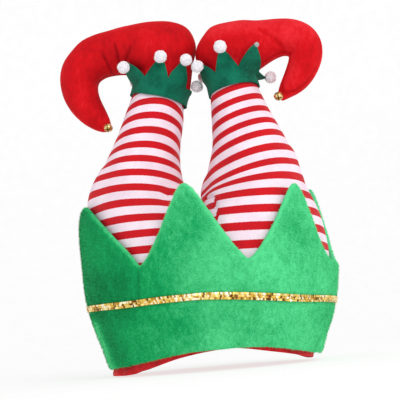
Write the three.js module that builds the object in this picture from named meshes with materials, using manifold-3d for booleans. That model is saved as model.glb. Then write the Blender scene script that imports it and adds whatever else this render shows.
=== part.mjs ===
// Elf hat: two stuffed striped legs with curled shoes stand upside down in a pointed plush cuff.
// Millimetres, +Z up, front towards -Y. An angle runs round the hat from the front towards +X.
import * as THREE from 'three';
import { LoftGeometry } from 'three/addons/geometries/LoftGeometry.js';
import { mergeVertices } from 'three/addons/utils/BufferGeometryUtils.js';
import Module from 'manifold-3d';

const wasm = await Module();
wasm.setup();

// Head opening and lining
const headWidth = 196;
const headDepth = 166;
const crownHeight = 128;
const liningWall = 1.6;
const layerGap = 0.9;
const rimArch = 18.5;

// Plush cuff
const cuffWall = 5;
const valleyHeight = 100;
const pointRise = 66;
const trimHeight = 66;
const trimWidth = 6.5;
const trimWall = 1.4;

// Stuffed legs
const hipPadding = 18.7;
const hemRise = 5.5;
const crotchHeight = 162;
const ankleHeight = 274;
const legParting = 0.8;
const pointEase = 2;
const ankleLean = 8;

// Felt ankle cuffs
const feltWall = 1.5;
const feltDrop = 4.2;
const feltRise = 19;
const feltPoint = 21;
const feltFlare = 0.1;

// Stuffed shoes
const shoeWidth = 1.02;
const shaftShare = 0.5;
const shaftTaper = 0.08;
const soleHeight = 354;
const seatGap = 0.3;

// Pompoms and bells
const pompomSize = 12.8;
const lockShare = 0.84;
const tuftSize = 5;
const bellSize = 8.6;
const bellWall = 0.9;
const bellSlot = 1.6;
const bellTip = 50;

// The hem of the legs, hidden behind the cuff above the arch of its rim
const hipHem = rimArch + hemRise;

// Facets
const cuffSteps = 6;
const liningSides = 32;
const legSides = 28;
const trimSides = 64;
const shoeSides = 16;
const shaftSides = 20;
const footSteps = 26;
const feltSteps = 6;
const lineSteps = 60;

const finish = (color, roughness, metalness = 0) => {
  return new THREE.MeshStandardMaterial({ color, roughness, metalness });
};
const redVelour = finish(0xd8161f, 0.85);
const redLining = finish(0xc02830, 0.9);
const stripedJersey = finish(0xf0a0a8, 0.9);
const greenPlush = finish(0x1eb464, 0.95);
const darkGreenFelt = finish(0x126e50, 0.95);
const goldSequin = finish(0xd8ac3a, 0.3, 0.9);
const brass = finish(0xc89a3c, 0.3, 1);
const whitePompom = finish(0xf2eef2, 1);

// Lining and hips by height: up is a share of crownHeight, wide of half the head opening,
// full of the hip padding
const bodyShape = [
  { up: 0.0, wide: 0.975, full: 0.0 },
  { up: 0.2, wide: 0.99, full: 0.27 },
  { up: 0.35, wide: 1.0, full: 0.55 },
  { up: 0.53, wide: 1.0, full: 0.87 },
  { up: 0.77, wide: 1.0, full: 1.0 },
  { up: 0.92, wide: 1.0, full: 1.0 },
  { up: 1.1, wide: 1.0, full: 0.95 },
  { up: 1.3, wide: 1.0, full: 0.84 },
  { up: 1.5, wide: 1.0, full: 0.72 },
];

// Dome of the lining: up is a share of crownHeight, wide of half the head opening
const domeShape = [
  { up: 0.0, wide: 0.975 },
  { up: 0.2, wide: 0.99 },
  { up: 0.42, wide: 1.0 },
  { up: 0.6, wide: 0.965 },
  { up: 0.76, wide: 0.87 },
  { up: 0.88, wide: 0.7 },
  { up: 0.95, wide: 0.46 },
  { up: 0.985, wide: 0.24 },
  { up: 1.0, wide: 0.0 },
];

// Rim by angle: cuff and lining edges are shares of rimArch, trim is a share of trimHeight
const rimShape = [
  { angle: 0, cuff: 0.99, lining: 1.08, trim: 1.0 },
  { angle: 16, cuff: 1.0, lining: 1.04, trim: 0.97 },
  { angle: 32, cuff: 0.93, lining: 0.75, trim: 0.92 },
  { angle: 50, cuff: 0.69, lining: 0.42, trim: 0.87 },
  { angle: 72, cuff: 0.44, lining: 0.0, trim: 0.85 },
  { angle: 95, cuff: 0.38, lining: 0.0, trim: 0.84 },
  { angle: 118, cuff: 0.45, lining: 0.0, trim: 0.86 },
  { angle: 150, cuff: 0.8, lining: 0.72, trim: 0.9 },
  { angle: 180, cuff: 0.95, lining: 0.9, trim: 0.94 },
  { angle: 210, cuff: 0.8, lining: 0.6, trim: 0.98 },
  { angle: 242, cuff: 0.45, lining: 0.0, trim: 1.01 },
  { angle: 270, cuff: 0.42, lining: 0.0, trim: 1.02 },
  { angle: 309, cuff: 0.5, lining: 0.0, trim: 1.0 },
  { angle: 330, cuff: 0.68, lining: 0.22, trim: 0.99 },
  { angle: 348, cuff: 0.9, lining: 0.82, trim: 1.0 },
];

// Points of the cuff: angles of the tip and of the valley after it, rise is a share of pointRise,
// sink is how far that valley lies below valleyHeight as a share of pointRise, before and after say
// how hollow the flanks are on either side of the tip: 1 is straight and less than 1 is full
const cuffPoints = [
  { tip: 1, valley: 24.5, rise: 1.03, sink: 0.04, before: 1.55, after: 1.28 },
  { tip: 52, valley: 86, rise: 0.96, sink: 0.12, before: 1.3, after: 4 },
  { tip: 120, valley: 150, rise: 1.09, sink: 0.05, before: 4, after: 1.2 },
  { tip: 180, valley: 210, rise: 1.0, sink: 0.03, before: 1.2, after: 1.2 },
  { tip: 240, valley: 265, rise: 1.02, sink: 0.06, before: 1.2, after: 1.2 },
  { tip: 297, valley: 337, rise: 0.99, sink: 0.01, before: 0.5, after: 0.8 },
];

// Legs by height: up is a share of the way from the hem to the ankle, outer and inner of half the
// hip width, deep of half the hip depth, lean of ankleLean, tilt is the slope of the section
const legShapes = {
  left: [
    { up: 0.0, outer: 1.0, inner: 0.0, deep: 1.0, lean: 0.0, tilt: 0.0 },
    { up: 0.37, outer: 1.0, inner: 0.0, deep: 1.0, lean: 0.0, tilt: 0.0 },
    { up: 0.51, outer: 0.985, inner: 0.03, deep: 0.82, lean: 0.2, tilt: 0.05 },
    { up: 0.62, outer: 0.95, inner: 0.13, deep: 0.64, lean: 0.4, tilt: 0.12 },
    { up: 0.69, outer: 0.885, inner: 0.165, deep: 0.53, lean: 0.55, tilt: 0.18 },
    { up: 0.76, outer: 0.8, inner: 0.17, deep: 0.43, lean: 0.7, tilt: 0.22 },
    { up: 0.87, outer: 0.675, inner: 0.13, deep: 0.345, lean: 0.85, tilt: 0.27 },
    { up: 0.955, outer: 0.585, inner: 0.08, deep: 0.3, lean: 0.95, tilt: 0.29 },
    { up: 1.0, outer: 0.54, inner: 0.045, deep: 0.28, lean: 1.0, tilt: 0.3 },
  ],
  right: [
    { up: 0.0, outer: 1.0, inner: 0.0, deep: 1.0, lean: 0.0, tilt: 0.0 },
    { up: 0.37, outer: 1.0, inner: 0.0, deep: 1.0, lean: 0.0, tilt: 0.0 },
    { up: 0.47, outer: 0.955, inner: 0.01, deep: 0.86, lean: 0.15, tilt: 0.02 },
    { up: 0.6, outer: 0.87, inner: 0.02, deep: 0.66, lean: 0.35, tilt: 0.05 },
    { up: 0.67, outer: 0.835, inner: 0.065, deep: 0.54, lean: 0.5, tilt: 0.08 },
    { up: 0.75, outer: 0.79, inner: 0.12, deep: 0.44, lean: 0.65, tilt: 0.1 },
    { up: 0.82, outer: 0.725, inner: 0.145, deep: 0.37, lean: 0.78, tilt: 0.12 },
    { up: 0.94, outer: 0.615, inner: 0.145, deep: 0.305, lean: 0.92, tilt: 0.14 },
    { up: 1.0, outer: 0.575, inner: 0.16, deep: 0.28, lean: 1.0, tilt: 0.15 },
  ],
};

// Dents of the legs: up as in the leg's table, turn is the angle round the section from its outer
// side, deep a share of ankleLean, spread in the same share as up
const legDents = {
  left: [
    { up: 0.66, turn: 215, deep: 0.35, spread: 0.035 },
    { up: 0.6, turn: 250, deep: -0.3, spread: 0.035 },
    { up: 0.8, turn: 20, deep: 0.2, spread: 0.05 },
  ],
  right: [
    { up: 0.64, turn: 145, deep: 0.4, spread: 0.035 },
    { up: 0.7, turn: 165, deep: -0.25, spread: 0.035 },
    { up: 0.73, turn: 0, deep: -0.3, spread: 0.04 },
  ],
};

// Shoes along the foot from heel to toe: out is measured from the ankle's middle as a share of the
// leg's half hip width, rise from the ankle as a share of the sole's height above it, half is the
// half thickness as a share of that height
const shoeShapes = {
  left: [
    { out: -0.336, rise: 0.525, half: 0.115 },
    { out: -0.29, rise: 0.54, half: 0.24 },
    { out: -0.187, rise: 0.575, half: 0.36 },
    { out: 0, rise: 0.6, half: 0.39 },
    { out: 0.21, rise: 0.665, half: 0.35 },
    { out: 0.4, rise: 0.67, half: 0.31 },
    { out: 0.6, rise: 0.615, half: 0.3 },
    { out: 0.725, rise: 0.46, half: 0.28 },
    { out: 0.755, rise: 0.25, half: 0.245 },
    { out: 0.71, rise: 0.03, half: 0.212 },
    { out: 0.625, rise: -0.15, half: 0.17 },
    { out: 0.545, rise: -0.275, half: 0.11 },
    { out: 0.495, rise: -0.345, half: 0.035 },
  ],
  right: [
    { out: -0.3, rise: 0.54, half: 0.075 },
    { out: -0.27, rise: 0.525, half: 0.175 },
    { out: -0.19, rise: 0.5, half: 0.3 },
    { out: -0.03, rise: 0.5, half: 0.35 },
    { out: 0.163, rise: 0.51, half: 0.35 },
    { out: 0.34, rise: 0.55, half: 0.265 },
    { out: 0.5, rise: 0.56, half: 0.245 },
    { out: 0.635, rise: 0.485, half: 0.235 },
    { out: 0.677, rise: 0.35, half: 0.22 },
    { out: 0.64, rise: 0.175, half: 0.2 },
    { out: 0.56, rise: 0.005, half: 0.172 },
    { out: 0.475, rise: -0.11, half: 0.12 },
    { out: 0.4, rise: -0.215, half: 0.045 },
  ],
};

// Pinch folds under the foot where it curls: along is a share of the foot's line, deep a share of
// the half thickness there
const shoePinches = {
  left: [
    { along: 0.36, deep: 0.1 },
    { along: 0.44, deep: 0.12 },
    { along: 0.53, deep: 0.08 },
  ],
  right: [
    { along: 0.5, deep: 0.05 },
    { along: 0.6, deep: 0.08 },
  ],
};

// Felt tips: turn is the tip's angle round the ankle, long a share of feltPoint beyond feltRise,
// bend and valley shares of feltRise where the tip leaves the ankle and where the notch after it
// ends, flip how many degrees it stands off the shoe, puff the size of what is sewn to it, over how
// far the tip reaches past the middle of that, as a share of its size, or 0 if it is at the tip's end
const feltTables = {
  left: [
    { turn: -50.6, long: 0.66, bend: 0.35, valley: 0.7, flip: 2, puff: pompomSize, over: 0.3 },
    { turn: 2, long: 0.85, bend: 0.35, valley: 0.75, flip: 2, puff: pompomSize, over: 0.3 },
    { turn: 37, long: 0.88, bend: 0.35, valley: 0.6, flip: 2, puff: pompomSize, over: 0.3 },
    { turn: 88, long: -0.4, bend: 0.6, valley: 0.5, flip: 40, puff: pompomSize, over: 0 },
    { turn: 170, long: 1.1, bend: 0.35, valley: 0.8, flip: 2, puff: pompomSize, over: 0.3 },
    { turn: 232, long: 0.65, bend: 0.35, valley: 0.7, flip: 2, puff: pompomSize, over: 0.3 },
  ],
  right: [
    { turn: -44, long: 0.45, bend: 0.35, valley: 0.65, flip: 2, puff: pompomSize, over: 0.3 },
    { turn: 0.3, long: 0.87, bend: 0.35, valley: 0.65, flip: 2, puff: pompomSize, over: 0.3 },
    { turn: 45.7, long: 0.95, bend: 0.35, valley: 0.6, flip: 2, puff: tuftSize, over: 0.3 },
    { turn: 104, long: -0.25, bend: 0.3, valley: 0.55, flip: 30, puff: pompomSize, over: 0 },
    { turn: 160, long: 1.1, bend: 0.35, valley: 0.8, flip: 2, puff: pompomSize, over: 0.3 },
    { turn: 224, long: 0.75, bend: 0.35, valley: 0.7, flip: 2, puff: pompomSize, over: 0.3 },
  ],
};

// A table read at one place, smoothly between its rows
function read(rows, key, place, column) {
  const last = rows.length - 1;
  if (place <= rows[0][key]) return rows[0][column];
  if (place >= rows[last][key]) return rows[last][column];
  const i = rows.findIndex((row) => row[key] > place) - 1;
  const [a, b] = [rows[i], rows[i + 1]];
  const [before, after] = [rows[Math.max(i - 1, 0)], rows[Math.min(i + 2, last)]];
  const span = b[key] - a[key];
  const rise = b[column] - a[column];
  const slope = (from, to) => ((to[column] - from[column]) * span) / (to[key] - from[key]);
  const limit = (m) => (m * rise <= 0 ? 0 : Math.sign(m) * Math.min(Math.abs(m), 3 * Math.abs(rise)));
  const [start, end] = [limit(slope(before, b)), limit(slope(a, after))];
  const t = (place - a[key]) / span;
  return a[column] + t * (start + t * (3 * rise - 2 * start - end + t * (start + end - 2 * rise)));
}

// The same for a table that goes once round, with its first rows repeated on both sides
function readRound(rows, key, angle, column) {
  const round = [
    ...rows.slice(-2).map((row) => ({ ...row, [key]: row[key] - 360 })),
    ...rows,
    ...rows.slice(0, 2).map((row) => ({ ...row, [key]: row[key] + 360 })),
  ];
  return read(round, key, ((angle % 360) + 360) % 360, column);
}

const upwards = new THREE.Vector3(0, 0, 1);
const turnFrom = (from, to) => new THREE.Quaternion().setFromUnitVectors(from, to);
const radians = THREE.MathUtils.degToRad;
const aroundHat = (angle, halfWidth, halfDepth, z) => new THREE.Vector3(
  halfWidth * Math.sin(radians(angle)),
  -halfDepth * Math.cos(radians(angle)),
  z,
);

// Half width and depth of the hips at a height
function hipHalf(z) {
  const up = z / crownHeight;
  const wide = read(bodyShape, 'up', up, 'wide');
  const grow = liningWall + layerGap + hipPadding * read(bodyShape, 'up', up, 'full');
  return [(headWidth / 2) * wide + grow, (headDepth / 2) * wide + grow];
}

// A closed geometry as a solid, its shared corners merged and its collapsed triangles dropped
function solidOf(geometry) {
  const bare = new THREE.BufferGeometry();
  bare.setAttribute('position', geometry.attributes.position);
  bare.setIndex(geometry.index);
  const merged = mergeVertices(bare, 1e-4);
  const corners = merged.index.array;
  const kept = [];
  for (let i = 0; i < corners.length; i += 3) {
    const [a, b, c] = corners.slice(i, i + 3);
    if (a !== b && b !== c && c !== a) kept.push(a, b, c);
  }
  return new wasm.Manifold(new wasm.Mesh({
    numProp: 3,
    vertProperties: new Float32Array(merged.attributes.position.array),
    triVerts: new Uint32Array(kept),
  }));
}

function geometryOf(solid) {
  const mesh = solid.getMesh();
  const geometry = new THREE.BufferGeometry();
  geometry.setAttribute('position', new THREE.BufferAttribute(new Float32Array(mesh.vertProperties), 3));
  geometry.setIndex(new THREE.BufferAttribute(new Uint32Array(mesh.triVerts), 1));
  geometry.computeVertexNormals();
  return geometry;
}

const ring = (sides, point) => Array.from({ length: sides }, (_, i) => point((i * 360) / sides));
const rimAt = (angle, column) => rimArch * Math.max(readRound(rimShape, 'angle', angle, column), 0);

// Rings of the lining cap, grown by a wall, from a rim to the top of the dome
function capRings(grow, rimOf) {
  const shares = [0.33, 0.47, 0.6, 0.7, 0.79, 0.87, 0.935, 0.98, 1];
  const heights = [hipHem, ...shares.map((share) => share * crownHeight)];
  const ringAt = (heightOf) => ring(liningSides, (angle) => {
    const z = heightOf(angle);
    const wide = read(domeShape, 'up', z / crownHeight, 'wide');
    const lift = (grow * Math.max(z, 0)) / crownHeight;
    return aroundHat(angle, (headWidth / 2 + grow) * wide, (headDepth / 2 + grow) * wide, z + lift);
  });
  return [ringAt(rimOf), ...heights.map((z) => ringAt(() => z))];
}

// The lining: a cap wall whose rings go down inside and up outside, closed at both poles
function makeLining() {
  const rimOf = (angle) => rimAt(angle, 'lining');
  const rings = [...capRings(0, rimOf).reverse(), ...capRings(liningWall, rimOf)];
  return geometryOf(solidOf(new LoftGeometry(rings, { closed: true })));
}

// The room that the lining takes out of the stuffed hips
function liningRoom() {
  const rings = capRings(liningWall + layerGap, () => 0);
  return solidOf(new LoftGeometry(rings, { closed: true, capStart: true }));
}

// Where the hips begin to part into limbs, and where they are all limb
const limbStart = (valleyHeight - hipHem) / (ankleHeight - hipHem);
const limbEnd = (crotchHeight + pointRise / 3 - hipHem) / (ankleHeight - hipHem);

// One section of a leg, seen from above, at a share of the way from the hem to the ankle
function legSection(side, up) {
  const rows = legShapes[side];
  const mirror = side === 'left' ? -1 : 1;
  const z = THREE.MathUtils.lerp(hipHem, ankleHeight, up);
  const ease = pointEase * THREE.MathUtils.smoothstep(up, limbStart * 0.8, limbEnd * 0.7);
  const [wide, deep] = hipHalf(z).map((half) => half - ease);
  const outer = wide * read(rows, 'up', up, 'outer');
  const inner = Math.max(wide * read(rows, 'up', up, 'inner'), legParting / 2);
  const middle = (outer + inner) / 2;
  const lean = -ankleLean * read(rows, 'up', up, 'lean');
  const limbWide = (outer - inner) / 2;
  const limbDeep = deep * read(rows, 'up', up, 'deep');
  const blend = THREE.MathUtils.smoothstep(up, limbStart, limbEnd);
  const tilt = read(rows, 'up', up, 'tilt');
  const [hipSharpness, limbSharpness] = [40, 9];
  const sharpness = THREE.MathUtils.lerp(hipSharpness, limbSharpness, blend);
  return ring(legSides, (angle) => {
    const [along, across] = [Math.cos(radians(angle)), Math.sin(radians(angle))];
    const oval = ovalReach(middle, wide, deep, along, across);
    const hip = roundedTo(oval, along < 0 ? (middle - legParting / 2) / -along : Infinity, sharpness);
    const limb = 1 / Math.hypot(along / limbWide, across / limbDeep);
    const reach = Math.min(THREE.MathUtils.lerp(hip, limb, blend) - dentAt(side, up, angle), oval);
    const [dx, dy] = [reach * along, reach * across];
    return new THREE.Vector3(mirror * (middle + dx), mirror * dy + lean, z + tilt * dx);
  });
}

// How deep the leg is dented at a share of its height and an angle round its section
function dentAt(side, up, angle) {
  const turnSpread = 28;
  return legDents[side].reduce((sum, dent) => {
    const away = Math.hypot((up - dent.up) / dent.spread, (angle - dent.turn) / turnSpread);
    return sum + ankleLean * dent.deep * Math.exp(-away * away);
  }, 0);
}

// How far it is to the hips' oval, from a place beside its middle
function ovalReach(middle, wide, deep, along, across) {
  const a = (along / wide) ** 2 + (across / deep) ** 2;
  const b = (middle * along) / wide ** 2;
  const c = (middle / wide) ** 2 - 1;
  return (-b + Math.sqrt(b * b - a * c)) / a;
}

// The shorter of two reaches, rounded where they meet
function roundedTo(first, second, sharpness) {
  return (first ** -sharpness + second ** -sharpness) ** (-1 / sharpness);
}

// A leg: hips around the lining's dome, narrowing to the ankle
function makeLeg(side, room) {
  const rows = [0, 0.09, 0.19, 0.3, 0.4, 0.48, 0.56, 0.63, 0.7, 0.77, 0.85, 0.93, 1];
  const sections = rows.map((up) => legSection(side, up));
  const leg = new LoftGeometry(sections, { closed: true, capStart: true, capEnd: true });
  return geometryOf(solidOf(leg).subtract(room));
}

// The cuff's top edge at an angle: straight flanks with soft tips and valleys
function cuffTop(angle) {
  const turn = ((angle % 360) + 360) % 360;
  const count = cuffPoints.length;
  for (let i = 0; i < count; i += 1) {
    const point = cuffPoints[i];
    const before = cuffPoints[(i + count - 1) % count];
    const start = before.valley > point.valley ? before.valley - 360 : before.valley;
    for (const here of [turn, turn - 360]) {
      if (here >= start && here <= point.valley) {
        const rising = here < point.tip;
        const [end, valley] = rising ? [start, before] : [point.valley, point];
        const share = (here - end) / (point.tip - end);
        const low = valleyHeight - pointRise * valley.sink;
        const high = valleyHeight + pointRise * point.rise;
        return THREE.MathUtils.lerp(low, high, softFlank(share, rising ? point.before : point.after));
      }
    }
  }
  return valleyHeight;
}

// A flank from 0 to 1, rounded at the tip and straight, hollow or full below it
function softFlank(share, hollow) {
  const rounding = 0.2;
  const reach = Math.hypot(1 - share, rounding) - rounding;
  const whole = Math.hypot(1, rounding) - rounding;
  return (1 - reach / whole) ** hollow;
}

// Angles of the cuff's sections, with one at every tip and valley
function cuffAngles() {
  const stops = cuffPoints.flatMap((point) => [point.tip, point.valley]);
  return stops.flatMap((stop, i) => {
    const next = i + 1 < stops.length ? stops[i + 1] : stops[0] + 360;
    return Array.from({ length: cuffSteps }, (_, k) => stop + ((next - stop) * k) / cuffSteps);
  });
}

// The cuff's outer side at an angle and a height
function cuffOutside(angle, z, grow = 0) {
  const [wide, deep] = hipHalf(z);
  const out = layerGap + cuffWall + grow;
  return aroundHat(angle, wide + out, deep + out, z);
}

// The cuff: a plush wall with a puffed edge, one closed section at each angle
function makeCuff() {
  const inside = [0, 0.12, 0.24, 0.36, 0.48, 0.6, 0.72, 0.84, 0.94];
  const outside = [0.97, 0.84, 0.68, 0.52, 0.36, 0.2, 0.03];
  const sections = cuffAngles().map((angle) => {
    const [low, high] = [rimAt(angle, 'cuff'), cuffTop(angle)];
    const at = (share, grow) => {
      return cuffOutside(angle, THREE.MathUtils.lerp(low, high, share), grow - cuffWall);
    };
    return [
      ...inside.map((share) => at(share, 0)),
      at(0.985, cuffWall * 0.15),
      at(1, cuffWall * 0.55),
      ...outside.map((share) => at(share, cuffWall)),
      at(-0.01, cuffWall * 0.55),
    ];
  });
  return new LoftGeometry([...sections, sections[0]], { closed: true });
}

// The sequin band that follows the cuff
function makeTrim() {
  const sections = ring(trimSides, (angle) => {
    const middle = trimHeight * readRound(rimShape, 'angle', angle, 'trim');
    const at = (up, grow) => cuffOutside(angle, middle + (up * trimWidth) / 2, seatGap + grow);
    return [at(-1, 0), at(1, 0), at(0.8, trimWall), at(-0.8, trimWall)];
  });
  return new LoftGeometry([...sections, sections[0]], { closed: true });
}

// Where a leg's ankle ends: its middle, its half sizes and how it tilts
function ankleOf(side) {
  const rows = legShapes[side];
  const mirror = side === 'left' ? -1 : 1;
  const [wide, deep] = hipHalf(ankleHeight).map((half) => half - pointEase);
  const [outer, inner] = ['outer', 'inner'].map((column) => wide * read(rows, 'up', 1, column));
  return {
    mirror,
    middle: new THREE.Vector3((mirror * (outer + inner)) / 2, -ankleLean, ankleHeight),
    wide: (outer - inner) / 2,
    deep: deep * read(rows, 'up', 1, 'deep'),
    tilt: read(rows, 'up', 1, 'tilt'),
    hip: wide,
  };
}

// The middle line of a shoe's foot with its half thickness, finely stepped
function footLine(side, steps) {
  const ankle = ankleOf(side);
  const rise = soleHeight - ankleHeight;
  const rows = shoeShapes[side];
  const points = rows.map((row) => new THREE.Vector3(
    ankle.middle.x + ankle.mirror * row.out * ankle.hip,
    ankle.middle.y,
    ankle.middle.z + row.rise * rise,
  ));
  const curve = new THREE.CatmullRomCurve3(points, false, 'centripetal');
  const keyed = rows.map((row, i) => ({ along: i / (rows.length - 1), half: row.half * rise }));
  return Array.from({ length: steps + 1 }, (_, i) => ({
    point: curve.getPoint(i / steps),
    ahead: curve.getTangent(i / steps),
    half: read(keyed, 'along', i / steps, 'half'),
  }));
}

// How much a pinch fold narrows the foot's underside at a share of its line
function pinchAt(side, along) {
  const spread = 0.024;
  return shoePinches[side].reduce((sum, pinch) => {
    return sum + pinch.deep * Math.exp(-(((along - pinch.along) / spread) ** 2));
  }, 0);
}

// A shoe: the foot along its line, joined to the shaft that stands on the ankle
function makeShoe(side) {
  const foot = footLine(side, footSteps).map(({ point, ahead, half }, i) => ring(shoeSides, (angle) => {
    const up = new THREE.Vector3(-ahead.z, 0, ahead.x);
    const under = (1 - Math.cos(radians(angle))) / 2;
    const pinched = half * (1 - under * pinchAt(side, i / footSteps));
    return point.clone()
      .addScaledVector(up, pinched * Math.cos(radians(angle)))
      .add(new THREE.Vector3(0, -pinched * shoeWidth * Math.sin(radians(angle)), 0));
  }));
  const length = (soleHeight - ankleHeight) * shaftShare;
  const shaft = [0, 0.5, 1].map((share) => ring(shaftSides, (angle) => {
    const { foot: base, up } = feltFrame(side, -angle, -shaftTaper * length * share);
    return base.addScaledVector(up, seatGap + length * share);
  }).reverse());
  const options = { closed: true, capStart: true, capEnd: true };
  return geometryOf(solidOf(new LoftGeometry(foot, options)).add(solidOf(new LoftGeometry(shaft, options))));
}

// How far a place is outside the shoe's foot
function footDistance(line, place) {
  return Math.min(...line.map(({ point, half }) => {
    const across = (place.y - point.y) / shoeWidth;
    return Math.hypot(place.x - point.x, across, place.z - point.z) - half;
  }));
}

// The felt's frame at an angle round the ankle: its foot, and directions up and out
function feltFrame(side, turn, grow) {
  const ankle = ankleOf(side);
  const [sin, cos] = [Math.sin(radians(turn)), Math.cos(radians(turn))];
  const out = new THREE.Vector3(sin, -cos, 0);
  const slope = ankle.mirror * ankle.tilt;
  const reach = 1 / Math.hypot(sin / (ankle.wide + grow), cos / (ankle.deep + grow));
  const foot = ankle.middle.clone().addScaledVector(out, reach);
  foot.z += slope * reach * sin;
  const up = new THREE.Vector3(-slope, 0, 1).normalize();
  return { foot, up, out };
}

// The direction of a tip that flares from the ankle by an angle
function flared({ up, out }, flare) {
  const [sin, cos] = [Math.sin(radians(flare)), Math.cos(radians(flare))];
  return up.clone().multiplyScalar(cos).addScaledVector(out, sin);
}

// The least flare, in degrees, that keeps a straight tip of felt clear of the shoe
function clearFlare(side, turn, long, knee) {
  const [flareStep, mostFlare] = [2, 110];
  const shares = [0.25, 0.4, 0.55, 0.7, 0.85, 1];
  const line = footLine(side, lineSteps);
  const frame = feltFrame(side, turn, layerGap);
  const start = frame.foot.addScaledVector(frame.up, knee);
  for (let flare = flareStep; flare < mostFlare; flare += flareStep) {
    const way = flared(frame, flare).multiplyScalar(long - knee);
    const far = (share) => footDistance(line, start.clone().addScaledVector(way, share));
    if (shares.every((share) => far(share) > layerGap + feltWall * share)) return flare;
  }
  return mostFlare;
}

// Tips of one felt cuff with their lengths and flares worked out
function feltTipsOf(side) {
  return feltTables[side].map((tip) => {
    const long = feltRise + feltPoint * tip.long;
    const knee = feltRise * tip.bend;
    return { ...tip, long, knee, flare: clearFlare(side, tip.turn, long, knee) + tip.flip };
  });
}

// A felt cuff: a collar round the ankle whose zigzag tips lie against the shoe
function makeFelt(side, tips) {
  const sections = tips.flatMap((tip, i) => {
    const next = i + 1 < tips.length ? tips[i + 1] : { ...tips[0], turn: tips[0].turn + 360 };
    return Array.from({ length: feltSteps }, (_, k) => {
      const share = k / feltSteps;
      const near = share < 0.5 ? tip : next;
      const blend = THREE.MathUtils.smoothstep(share, 0.1, 0.9);
      const mixed = (column) => THREE.MathUtils.lerp(tip[column], next[column], blend);
      const turn = THREE.MathUtils.lerp(tip.turn, next.turn, share);
      const long = THREE.MathUtils.lerp(feltRise * tip.valley, near.long, Math.abs(1 - 2 * share));
      const knee = Math.min(mixed('knee'), long - feltWall);
      const flare = Math.max(mixed('flare'), clearFlare(side, turn, long, knee));
      return feltSection(side, turn, long, knee, flare);
    });
  });
  return new LoftGeometry([...sections, sections[0]], { closed: true });
}

// One section of felt: up from its hem to the knee, then along the flare, with its wall square to it
function feltSection(side, turn, long, knee, flare) {
  const place = (height, lean, wall) => {
    const drop = Math.max(-height, 0) * feltFlare;
    const frame = feltFrame(side, turn, layerGap + drop);
    const low = frame.foot.addScaledVector(frame.up, Math.min(height, knee));
    const high = low.addScaledVector(flared(frame, flare), Math.max(height - knee, 0));
    return high.addScaledVector(flared(frame, lean + 90), wall);
  };
  const stops = [
    { height: -feltDrop, lean: 0, wall: feltWall },
    { height: knee, lean: flare / 2, wall: feltWall / Math.cos(radians(flare / 2)) },
    { height: (knee + long) / 2, lean: flare, wall: feltWall },
    { height: long, lean: flare, wall: feltWall },
  ];
  return [
    ...stops.map(({ height, lean }) => place(height, lean, 0)),
    ...stops.reverse().map(({ height, lean, wall }) => place(height, lean, wall)),
  ];
}

// The place on some geometries that lies nearest to a point
function nearest(point, geometries) {
  const triangle = new THREE.Triangle();
  const here = new THREE.Vector3();
  const best = new THREE.Vector3(Infinity, Infinity, Infinity);
  for (const geometry of geometries) {
    const { position } = geometry.attributes;
    const corners = geometry.index.array;
    for (let i = 0; i < corners.length; i += 3) {
      triangle.setFromAttributeAndIndices(position, corners[i], corners[i + 1], corners[i + 2]);
      if (triangle.getArea() > 0) triangle.closestPointToPoint(point, here);
      if (here.distanceToSquared(point) < best.distanceToSquared(point)) best.copy(here);
    }
  }
  return best;
}

// A ball's middle, moved until the ball lies a seat's gap from what carries it, and the way there
function seated(start, radius, carriers) {
  const tries = 12;
  const place = start.clone();
  const towards = new THREE.Vector3();
  for (let i = 0; i < tries; i += 1) {
    towards.copy(nearest(place, carriers)).sub(place);
    const long = towards.length() - radius - seatGap;
    place.addScaledVector(towards.normalize(), long);
  }
  return { place, towards };
}

// The corners of a geometry as vectors
function cornersOf({ attributes: { position } }) {
  const corners = Array.from({ length: position.count }, () => new THREE.Vector3());
  return corners.map((corner, i) => corner.fromBufferAttribute(position, i));
}

// A pompom: a ball whose blunt locks stand out, the first of them upwards
function makePompom(size) {
  const nearby = size / 20;
  const locks = cornersOf(new THREE.IcosahedronGeometry(size / 2, 0));
  const ball = new THREE.IcosahedronGeometry(size / 2, 1);
  cornersOf(ball).forEach((corner, i) => {
    const isLock = locks.some((lock) => lock.distanceTo(corner) < nearby);
    ball.attributes.position.setXYZ(i, ...corner.multiplyScalar(isLock ? 1 : lockShare));
  });
  ball.applyQuaternion(turnFrom(locks[0].normalize(), upwards));
  return geometryOf(solidOf(ball));
}

// A pompom on the face of a felt tip, or at its end if the tip stands off the shoe, with a lock on
// what carries it
function pompomPlace(side, tip, carriers) {
  const line = footLine(side, lineSteps);
  const frame = feltFrame(side, tip.turn, layerGap);
  const reach = tip.puff / 2 + seatGap;
  const beyond = tip.over ? -tip.puff * tip.over : reach;
  const lift = tip.over ? feltWall + reach : feltWall / 2;
  const place = frame.foot.addScaledVector(frame.up, tip.knee);
  place.addScaledVector(flared(frame, tip.flare), tip.long - tip.knee + beyond);
  place.addScaledVector(flared(frame, tip.flare + 90), lift);
  while (footDistance(line, place) < reach) place.addScaledVector(frame.out, reach / 10);
  return seated(place, tip.puff / 2, carriers);
}

// A jingle bell: a hollow ball whose lower half is slit crosswise
function makeBell() {
  const slitShare = 0.8;
  const ball = solidOf(new THREE.SphereGeometry(bellSize / 2, 12, 8));
  const hollow = solidOf(new THREE.SphereGeometry(bellSize / 2 - bellWall, 8, 6));
  const slit = (wide, deep) => {
    const cutter = new THREE.BoxGeometry(wide, deep, bellSize / 2);
    cutter.translate(0, 0, -bellSize / 3);
    return solidOf(cutter);
  };
  const long = bellSize * slitShare;
  const shell = ball.subtract(hollow).subtract(slit(long, bellSlot));
  return geometryOf(shell.subtract(slit(bellSlot, long)));
}

// A bell hangs in front of the toe's tip
function bellPlace(side, shoe) {
  const { point: toe } = footLine(side, lineSteps).at(-1);
  const start = toe.clone().add(new THREE.Vector3(0, -bellSize, bellSize / 10));
  return seated(start, bellSize / 2, [shoe]).place;
}

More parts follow.
